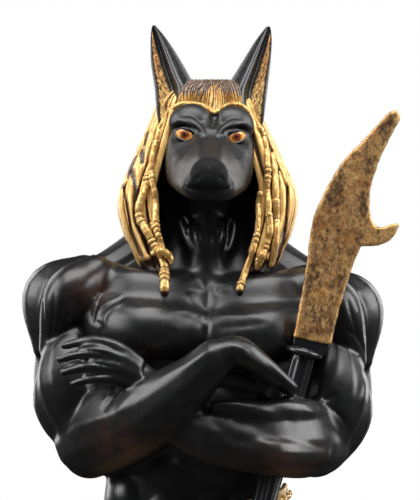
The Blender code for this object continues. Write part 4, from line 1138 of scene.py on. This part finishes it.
# creases and ridges of the body: path in x and z, depth (a ridge is negative), width, crisp or soft
BODY_STROKES = [
    # the figure's right shoulder: three ribs that meet at its point, its hem, and the hollow beside it
    ([(-39.9, 213.0), (-39.7, 208.0), (-39.3, 204.0), (-38.6, 199.9)], 0.8, 0.9, True),
    ([(-36.8, 212.6), (-36.9, 208.0), (-37.4, 203.5), (-38.2, 199.4)], 0.8, 0.9, True),
    ([(-34.0, 211.5), (-35.0, 206.5), (-36.4, 202.4), (-37.8, 199.2)], 0.7, 0.9, True),
    ([(-38.2, 198.1), (-35.3, 201.7), (-32.1, 203.9), (-29.5, 204.2)], 0.9, 0.8, True),
    ([(-32.3, 210.9), (-30.9, 208.5), (-31.4, 205.3)], 0.9, 1.8, False),
    # armpit and the fibres of the chest beside it
    ([(-24.9, 213.0), (-26.2, 209.9), (-27.3, 206.6), (-26.9, 204.1)], 1.3, 0.9, True),
    ([(-25.9, 205.4), (-24.6, 207.9), (-21.6, 209.7), (-18.9, 210.6)], 0.7, 0.6, True),
    ([(-25.8, 206.9), (-23.7, 209.4), (-18.7, 211.3)], -0.4, 0.6, False),
    ([(-24.2, 203.2), (-23.6, 206.4), (-19.0, 210.1)], -0.4, 0.6, False),
    ([(-26.9, 204.8), (-25.3, 203.6), (-25.1, 199.6)], 0.7, 0.7, True),
    # chest, breastbone and collar bones
    ([(-17.1, 207.5), (-13.2, 208.1), (-7.8, 207.6), (-1.0, 207.0)], -0.3, 1.2, False),
    ([(-6.8, 205.7), (-3.4, 205.3), (0.3, 205.7)], 0.4, 0.9, False),
    ([(-9.0, 203.0), (-4.5, 202.4), (0.3, 203.4)], -0.3, 0.9, False),
    ([(0.6, 214.0), (0.8, 210.1), (0.9, 204.9), (1.0, 199.4)], 0.6, 0.6, True),
    ([(-4.9, 212.2), (-2.4, 212.7), (0.0, 212.2)], -0.5, 0.9, False),
    ([(2.2, 212.4), (4.6, 212.9), (7.2, 212.6)], 0.5, 1.0, False),
    ([(2.5, 205.4), (8.3, 205.9), (14.9, 205.7)], -0.35, 0.9, False),
    ([(2.2, 203.0), (8.8, 203.2), (16.6, 204.0)], 0.4, 0.9, False),
    ([(-19.1, 200.2), (-19.0, 200.1)], -0.55, 0.9, False),
    ([(-17.3, 201.4), (-17.2, 201.3)], -0.35, 0.6, False),
    # the hand that lies on the right upper arm: furrows between its fingers and its tendons
    ([(-33.2, 194.2), (-28.6, 194.3), (-23.2, 193.0), (-20.2, 192.3)], 0.8, 0.6, True),
    ([(-33.6, 196.8), (-28.6, 196.9), (-24.2, 196.0), (-20.6, 194.2)], 0.8, 0.6, True),
    ([(-29.6, 199.0), (-25.0, 198.6), (-21.4, 196.9), (-18.9, 195.4)], 0.5, 0.5, True),
    ([(-31.1, 190.4), (-27.9, 190.6), (-24.3, 191.0), (-21.0, 190.9)], 0.7, 0.6, True),
    # the upper forearm: its long ridge, the shorter one below it and the furrow between
    ([(4.0, 197.2), (-0.6, 194.6), (-7.7, 190.9), (-14.0, 187.4)], -0.5, 1.1, False),
    ([(-17.6, 189.2), (-22.0, 187.1), (-24.2, 184.2)], -0.5, 1.0, False),
    ([(-19.5, 187.2), (-22.6, 185.2), (-24.6, 182.0)], 0.7, 1.0, False),
    ([(-15.4, 187.0), (-18.8, 184.4), (-21.0, 181.4)], -0.4, 1.2, False),
    # the hand of the upper forearm
    ([(5.6, 197.5), (8.9, 196.5), (11.0, 194.2), (18.5, 189.4)], -0.5, 0.7, False),
    ([(7.4, 193.6), (11.5, 190.6), (16.5, 187.6)], 0.5, 0.7, False),
    # the lower forearm: two ridges with a furrow between them, and the hem of the muscle beneath
    ([(2.2, 183.3), (7.5, 180.9), (14.0, 177.6), (18.3, 174.9)], 0.4, 1.4, False),
    ([(4.0, 185.4), (10.0, 183.2), (17.0, 181.4)], -0.3, 1.0, False),
    ([(15.2, 184.8), (23.0, 183.7), (28.2, 180.9)], -0.3, 1.3, False),
    ([(14.5, 183.2), (19.0, 181.8), (22.0, 179.4)], 0.3, 1.3, False),
    ([(1.0, 181.2), (5.6, 176.6), (14.0, 172.7), (18.5, 171.6)], 0.4, 1.0, False),
    ([(26.7, 185.7), (32.5, 182.3), (36.2, 177.4)], 0.8, 0.8, True),
    ([(28.8, 185.2), (30.8, 185.9), (32.5, 187.4)], 0.6, 0.7, True),
    # the left shoulder and upper arm
    ([(35.0, 211.0), (36.6, 205.0), (38.6, 199.6)], 0.7, 0.9, True),
    ([(38.2, 212.4), (39.6, 206.2), (39.9, 199.6)], 0.6, 0.9, True),
    ([(33.9, 202.9), (36.4, 201.9), (38.7, 199.6), (40.0, 196.1)], 0.8, 0.8, True),
    ([(39.6, 196.4), (39.4, 190.7), (37.9, 185.5)], 0.4, 1.0, False),
    # belly: the line down its middle, the rows of blocks, and the navel
    ([(-1.9, 178.0), (-1.9, 171.1), (-1.8, 165.8)], 0.6, 0.8, True),
    ([(-11.0, 172.9), (-6.0, 172.4), (-1.9, 172.8), (2.4, 172.4), (7.2, 172.9)], 0.5, 0.8, False),
    ([(-2.8, 164.4), (-2.8, 163.6)], 1.2, 0.8, False),
]
BACK_STROKES = [
    ([(0.4, 218.0), (0.2, 204.0), (-1.4, 186.0), (-2.6, 166.0)], 1.6, 1.8, False),
    ([(-9.0, 216.0), (-10.6, 207.0), (-13.0, 199.0), (-19.0, 194.6)], 0.9, 1.4, False),
    ([(9.4, 215.0), (10.9, 206.0), (13.2, 198.0), (19.2, 193.6)], 0.9, 1.4, False),
    ([(-27.0, 212.5), (-22.0, 210.5), (-14.0, 211.5)], 0.7, 1.3, False),
    ([(27.0, 209.5), (22.0, 207.8), (14.0, 209.5)], 0.7, 1.3, False),
    ([(-8.6, 190.0), (-9.6, 178.0), (-11.0, 166.0)], 0.7, 1.5, False),
    ([(7.0, 190.0), (6.4, 178.0), (5.6, 166.0)], 0.7, 1.5, False),
    ([(-36.0, 206.0), (-33.6, 199.0), (-33.0, 190.0)], 0.7, 1.2, False),
    ([(35.4, 203.0), (33.0, 196.0), (32.4, 187.0)], 0.7, 1.2, False),
]
FACE_STROKES = [
    # furrow between the lobes, then a socket and a crease under the brow for each eye
    ([(2.8, 257.6), (2.4, 254.9), (1.9, 252.4)], 1.6, 0.9, False),
    ([(-1.8, 250.2), (-4.7, 250.8), (-7.6, 251.2)], 1.5, 1.8, False),
    ([(5.3, 249.8), (8.1, 250.2), (11.0, 250.6)], 1.5, 1.8, False),
    ([(-0.6, 250.6), (-2.6, 252.0), (-5.8, 252.9), (-8.4, 252.5)], 1.4, 0.8, False),
    ([(4.0, 250.2), (6.0, 251.6), (9.2, 252.4), (11.6, 251.9)], 1.4, 0.8, False),
    # hollows that run down and outward from the eyes
    ([(-3.6, 248.0), (-4.6, 245.8), (-6.4, 243.2), (-7.8, 240.6)], 0.5, 1.5, False),
    ([(6.4, 247.8), (8.0, 245.2), (9.4, 242.4), (10.2, 239.8)], 0.5, 1.5, False),
    # cleft and nostrils of the nose
    ([(1.5, 243.0), (1.4, 241.6), (1.3, 239.8)], 0.5, 0.5, False),
    ([(-2.4, 236.9), (-1.6, 237.6), (-1.4, 238.4)], 0.4, 0.6, False),
    ([(5.0, 236.9), (4.2, 237.6), (4.0, 238.4)], 0.4, 0.6, False),
    # mouth with its corners
    ([(-4.6, 236.2), (-3.0, 235.5), (1.3, 235.1), (5.0, 235.3), (6.9, 236.4)], 0.8, 0.5, True),
    ([(-4.7, 236.4), (-4.6, 236.3)], 1.5, 0.7, False),
    ([(6.9, 236.8), (7.0, 236.7)], 1.5, 0.7, False),
]


def almond(across, up, tilt, bulge, centre, steps=14):
    """A bulging almond facing -Y, and how far each of its points lies from the iris's middle."""
    mesh = bmesh.new()
    rows, out = [], []
    turn = Matrix.Rotation(math.radians(tilt), 3, "Y")
    for i in range(steps + 1):
        u = -1 + 2 * i / steps
        half = up * max(1 - u * u, 0.0) ** 0.62
        row = []
        for j in range(steps + 1):
            v = -1 + 2 * j / steps
            x, z = across * u, half * v
            y = -bulge * math.sqrt(max(1 - (0.86 * u) ** 2 - (0.62 * v * half / up) ** 2, 0.0))
            row.append(mesh.verts.new((turn @ Vector((x, y, z)) + Vector(centre)) * MM))
            out.append(math.hypot(x, z - 0.04 * up) / 1.25)
        rows.append(row)
    for i in range(steps):
        for j in range(steps):
            mesh.faces.new((rows[i][j], rows[i + 1][j], rows[i + 1][j + 1], rows[i][j + 1]))
    result = bpy.data.meshes.new("almond")
    mesh.to_mesh(result)
    mesh.free()
    store(result, "iris", out)
    return result


def almond_rim(clay, across, up, tilt, centre, radius, lift):
    turn = Matrix.Rotation(math.radians(tilt), 3, "Y")
    for side in (-1, 1):
        points = []
        for i in range(13):
            u = -1 + 2 * i / 12
            offset = Vector((across * u, lift + 0.75 * abs(u) ** 2,
                             side * up * max(1 - u * u, 0.0) ** 0.62))
            points.append(tuple(turn @ offset + Vector(centre)))
        clay.tube(points, [radius * (0.55 + 0.45 * math.sin(math.pi * i / 12)) for i in range(13)], steps=2)


def axe_pose():
    """Where the weapon's own frame lies: its origin at the ring, Z up the shaft."""
    across = Vector((0, 1, 0)).cross(SHAFT_LEAN).normalized()
    turned = Matrix((across, SHAFT_LEAN.cross(across), SHAFT_LEAN)).transposed().to_4x4()
    return Matrix.Translation(RING_CENTRE) @ turned


def blade_outline(steps):
    """The blade in the weapon's own frame, X across and Y up the shaft, counter-clockwise from its foot."""
    back = [(-3.5, 2.9), (-4.5, 17), (-6.1, 29), (-5.9, 36), (-3.2, 46.8), (0.4, 53.5), (4.8, 61.9)]
    tip = [(4.8, 61.9), (6.4, 62.8), (7.8, 61.2)]
    front = [(7.8, 61.2), (5.7, 51), (5.3, 42.5), (7.0, 36.4), (9.6, 34.2), (13.2, 36.1)]
    hook = [(13.2, 36.1), (14.3, 35.8), (13.1, 31.9), (10.4, 29.9), (6.6, 28.7)]
    side = [(6.6, 28.7), (5.9, 22.5), (5.5, 12.9), (5.8, 3.5)]
    points = []
    for stretch in (back, tip, front, hook, side):
        points += [tuple(row) for row in smooth_rows(stretch, steps)[:-1]]
    return points + [side[-1]]


def plate(points, thickness, rounding):
    """A flat plate of this outline with rounded edges, upright in the weapon's place, in units of MM."""
    outline = bpy.data.curves.new("plate", "CURVE")
    outline.dimensions = "2D"
    outline.fill_mode = "BOTH"
    outline.extrude = (thickness / 2 - rounding) * MM
    outline.bevel_depth = rounding * MM
    outline.offset = -rounding * MM
    outline.bevel_resolution = 2
    spline = outline.splines.new("POLY")
    spline.points.add(len(points) - 1)
    for point, (x, y) in zip(spline.points, points):
        point.co = (x * MM, y * MM, 0, 1)
    spline.use_cyclic_u = True
    mesh = applied(link(bpy.data.objects.new("plate", outline)))
    turned = axe_pose() @ Matrix.Rotation(math.radians(90), 4, "X")
    turned.translation *= MM
    mesh.transform(turned)
    return mesh


def hammered(mesh, size, depth):
    """Pushes the points in and out by noise of this size, both in units of MM."""
    skin = Skin(mesh)
    push = [noise.noise(Vector(point) / size) + 0.5 * noise.noise(Vector(point) * 2.3 / size)
            for point in skin.points]
    skin.points += skin.normals * (depth * np.array(push))[:, None]
    skin.settle()
    return mesh


def turned_rod(clay, profile, flutes=0, flute_depth=0.0, around=48):
    """A turned body in the weapon's frame: rows are radius, height and whether it is fluted."""
    pose = axe_pose()
    rings = []
    for radius, z, fluted in profile:
        ring = []
        for k in range(around):
            angle = 2 * math.pi * k / around
            r = radius - (flute_depth * (0.5 + 0.5 * math.cos(flutes * angle)) if fluted else 0)
            ring.append(pose @ Vector((r * math.cos(angle), r * math.sin(angle), z)))
        rings.append(ring)
    clay.loft(rings)


def shaft(clay):
    cap = -SHAFT_BELOW_RING
    turned_rod(clay, [(SHAFT_RADIUS - 0.4, cap - 3.4, 0), (SHAFT_RADIUS + 0.9, cap - 2.4, 0),
                      (SHAFT_RADIUS + 1.5, cap, 0), (SHAFT_RADIUS + 1.1, cap + 2.6, 0),
                      (SHAFT_RADIUS + 0.2, cap + 3.2, 0), (SHAFT_RADIUS, cap + 3.6, 1),
                      (SHAFT_RADIUS, -2.6, 1), (SHAFT_RADIUS - 0.2, -1.6, 0), (SHAFT_RADIUS - 0.2, 1.0, 0)],
               flutes=9, flute_depth=0.35, around=90)
    # the ring on which the blade's socket stands
    pose = axe_pose()
    ring = [tuple(pose @ Vector((3.75 * math.cos(2 * math.pi * k / 40),
                                 3.75 * math.sin(2 * math.pi * k / 40), 0)))
            for k in range(41)]
    clay.tube(ring, [0.85] * 41, steps=1)


def area_light(name, place, aim, size, power):
    light = bpy.data.lights.new(name, "AREA")
    light.shape = "RECTANGLE"
    light.size, light.size_y = size
    light.energy = power
    lamp = link(bpy.data.objects.new(name, light))
    lamp.location = place
    lamp.rotation_mode = "QUATERNION"
    lamp.rotation_quaternion = (Vector(aim) - Vector(place)).to_track_quat("-Z", "Y")


def surroundings():
    scene = bpy.context.scene
    # a photographer's white sweep: white to the camera, dimmer as a source of light
    world = bpy.data.worlds.new("studio")
    scene.world = world
    world.use_nodes = True
    tree = world.node_tree
    dim = tree.nodes["Background"]
    dim.inputs["Color"].default_value = (0.024, 0.024, 0.026, 1)
    white = tree.nodes.new("ShaderNodeBackground")
    white.inputs["Color"].default_value = (1, 1, 1, 1)
    path = tree.nodes.new("ShaderNodeLightPath")
    either = tree.nodes.new("ShaderNodeMixShader")
    tree.links.new(path.outputs["Is Camera Ray"], either.inputs[0])
    tree.links.new(dim.outputs[0], either.inputs[1])
    tree.links.new(white.outputs[0], either.inputs[2])
    tree.links.new(either.outputs[0], tree.nodes["World Output"].inputs["Surface"])
    for light in LIGHTS:
        area_light(*light)
    bpy.ops.mesh.primitive_plane_add(size=FLOOR_SIZE)
    floor = bpy.context.object
    floor.name = "floor"
    paper = Paint("paper")
    paper.put("Base Color", paper.mix(paper.noise(8.0), (0.42, 0.42, 0.42), (0.46, 0.46, 0.46)))
    paper.put("Roughness", 0.8)
    floor.data.materials.append(paper.material)
    floor.visible_glossy = False
    # a long lens, level with the chest
    back = Vector((0, -math.cos(CAMERA_RISE), math.sin(CAMERA_RISE)))
    lens = bpy.data.cameras.new("camera")
    lens.sensor_width = SENSOR
    lens.lens = SENSOR / 2 * CAMERA_DISTANCE / HALF_PICTURE
    lens.clip_start, lens.clip_end = 0.05, 20
    camera = link(bpy.data.objects.new("camera", lens))
    camera.location = TARGET + back * CAMERA_DISTANCE
    camera.rotation_mode = "QUATERNION"
    camera.rotation_quaternion = (-back).to_track_quat("-Z", "Y")
    scene.camera = camera
    scene.view_settings.view_transform = "Standard"


def painted_reflection_patches(skin, patches):
    """How strongly each point carries a painted brown reflection: patches are centre and radius."""
    total = np.zeros(skin.count)
    for centre, radius in patches:
        total += np.exp(-(np.linalg.norm(skin.points - np.array(centre), axis=1) / radius) ** 2)
    store(skin.mesh, "painted_reflection", np.clip(total, 0, 1))


def figure_pieces():
    black, gloss, gold = black_resin(), gloss_black(), gold_paint()

    clay = Clay()
    torso(clay)
    neck(clay)
    upper_forearm(clay)
    lower_forearm(clay)
    upper_arm(clay, -1, Matrix())
    upper_arm(clay, 1, Matrix.Translation((-0.6, 0, -3)))
    # the dark inside of the headdress
    clay.stack([(217, 0.8, 6, 12, 8), (229, 0.8, 6, 17, 10.5), (240, 0.8, 6, 16.5, 10), (250, 1, 5, 13, 9),
                (258, 1.2, 4, 10, 8)], squareness=2.2)
    skin = Skin(fused(clay.heap(), BODY_VOXEL, 16))
    # upper chest, then the elbows
    skin.relax((0, -16, 212.5), (22, 12, 6.5), 60)
    for centre in ((31, -12, 180), (-32, -6, 183)):
        skin.relax(centre, (5, 9, 8), 25)
    for points, depth, width, crisp in BODY_STROKES:
        skin.stroke(points, 0.6 * depth, 1.15 * width, crisp=crisp)
    for points, depth, width, crisp in BACK_STROKES:
        skin.stroke(points, depth, width, way=-1, crisp=crisp)
    skin.settle()
    # painted brown reflections on the body
    painted_reflection_patches(skin, [((-28, -14, 213), 4.5), ((-20, -25, 172), 7), ((20, -25, 168), 8),
                         ((-14, -20, 197), 3)])
    under = np.clip(-1.3 * skin.normals[:, 2] - 0.2, 0, 0.75)
    store(skin.mesh, "matte", under * (np.abs(skin.points[:, 2] - 174) < 12))
    body_tree = skin.tree
    dress("body", thinned(skin.mesh, BODY_TRIANGLES), black, "figure")

    skin = Skin(fused(heaped(head), HEAD_VOXEL, 12))
    for points, depth, width, crisp in FACE_STROKES:
        skin.stroke(points, 0.7 * depth, width, crisp=crisp)
    skin.settle()
    # painted brown reflections on the face
    painted_reflection_patches(skin, [((-7.6, -17, 238.6), 4.6), ((8.0, -20, 235), 2.5)])
    pad = np.linalg.norm((skin.points - np.array((1.25, -37.5, 239.0))) / (5.2, 6.0, 4.4), axis=1)
    muzzle = (0.30 + 0.25 * np.clip((245 - skin.points[:, 2]) / 5, 0, 1)
              + 0.6 * np.clip((235.2 - skin.points[:, 2]) / 1.5, 0, 1))
    store(skin.mesh, "matte", np.clip(np.maximum(6 - 5 * pad, muzzle), 0, 1))
    dress("head", thinned(skin.mesh, HEAD_TRIANGLES), black, "figure")

    eyes, lids = bmesh.new(), Clay()
    for (x, z), tilt in EYES:
        path, _ = skin.cast([(x, z)], 1)
        centre = (x, path[0][1] + 0.75, z)
        eye = almond(2.3, 1.3, tilt, 1.2, centre)
        eyes.from_mesh(eye)
        almond_rim(lids, 2.5, 1.5, tilt, centre, 0.5, -0.7)
    mesh = bpy.data.meshes.new("eyes")
    eyes.to_mesh(mesh)
    dress("eyes", mesh, eye_paint(), "figure")
    dress("eyelids", lids.heap(), black, "figure")
    clay = Clay()
    ear(clay, LEFT_EAR, 6)
    ear(clay, RIGHT_EAR, 6)
    mesh = clay.heap()
    ear_tree = Skin(mesh).tree
    dress("ears", mesh, gloss, "figure")
    dress("ear_fur", heaped(ear_fur, 1), ear_fur_paint(), "figure")

    mesh = headdress()
    hood_tree = Skin(mesh).tree
    dress("headdress", mesh, gold, "figure")
    ropes = Ropes()
    band = laid(smooth_rows([(x, -11.5, z, 0.6) for x, z in BAND], 6), [skin.tree, ear_tree], 0.3)
    ropes.add(band)
    for rows, rings, dark_end in CORDS:
        ropes.add(laid(smooth_rows(rows, 14), [body_tree, hood_tree, ear_tree], 0.55), rings, dark_end)
    dress("headdress_cords", ropes.mesh(), gold, "figure")
    dress("crown_fur", cap_of_fur(band), fur_paint(), "figure")

    mesh = heaped(kilt)
    # painted shade in the pleats and a painted highlight on their ridges
    groove_shade_and_ridge_highlight(mesh, 0.30, 1.0, 3)
    dress("kilt", mesh, gold, "figure")
    mesh = fused(heaped(belt), 0.35, 1)
    # painted shade in the belt's grooves
    groove_shade_and_ridge_highlight(mesh, 0.12, 0.5, 3)
    dress("belt", mesh, gold, "figure")
    dress("apron", fused(heaped(apron), 0.5, 2), black, "figure")
    mesh = fused(heaped(apron_trim), 0.3, 1)
    # painted shade in the trim's grooves
    groove_shade_and_ridge_highlight(mesh, 0.12, 0.5, 3)
    dress("apron_trim", mesh, gold, "figure")
    skin = Skin(fused(heaped(legs), LEG_VOXEL, 6))
    skin.points[:, 2] = np.maximum(skin.points[:, 2], SOLE_LEVEL)
    skin.settle()
    dress("legs", thinned(skin.mesh, LEG_TRIANGLES), black, "figure")


def axe_pieces():
    mesh = fused(plate(blade_outline(6), BLADE_THICKNESS, 0.5), 0.3, 3)
    mesh = hammered(mesh, 2.2, 0.16)
    # painted highlight on the blade's edges and ridges
    groove_shade_and_ridge_highlight(mesh, 0.10, 0.4, 4)
    dress("axe_blade", mesh, blade_paint(), "war_axe")
    socket = plate([(-3.2, 0.4), (-3.2, 3.6), (5.4, 4.1), (5.2, 0.4)][::-1], 2.8, 0.3)
    dress("axe_socket", socket, gloss_black(), "war_axe")
    dress("axe_shaft", heaped(shaft), gloss_black(), "war_axe")


def plinth_pieces():
    (x0, y0, z0), (x1, y1, z1) = (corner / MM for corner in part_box("plinth"))
    rows = [(0, 0.5), (0.5, 0.0), (2.6, 0.0), (3.1, 0.5), (3.5, 1.2), (8.2, 1.2), (8.7, 0.6), (9.2, 0.3),
            (10.9, 0.3),
            (11.5, 0.6), (11.8, 1.1), (12.0, 1.8)]
    clay = Clay()
    clay.loft(rail([(z * z1 / 12, inset) for z, inset in rows], x1 - x0, y1 - y0, 3.0, 8))
    dress("plinth_block", clay.heap(), gloss_black(), "plinth")
    clay = Clay()
    for z in (4.6, 7.1):
        ring = rail([(z, 1.2)], x1 - x0, y1 - y0, 3.0, 8)[0]
        clay.tube(ring + [ring[0]], [0.42] * (len(ring) + 1), steps=1)
    mesh = clay.heap()
    # painted shade beside the gold lines
    groove_shade_and_ridge_highlight(mesh, 0.3, 1.0, 2)
    dress("plinth_lines", mesh, gold_paint("gold_line"), "plinth")


figure_pieces()
axe_pieces()
plinth_pieces()
surroundings()
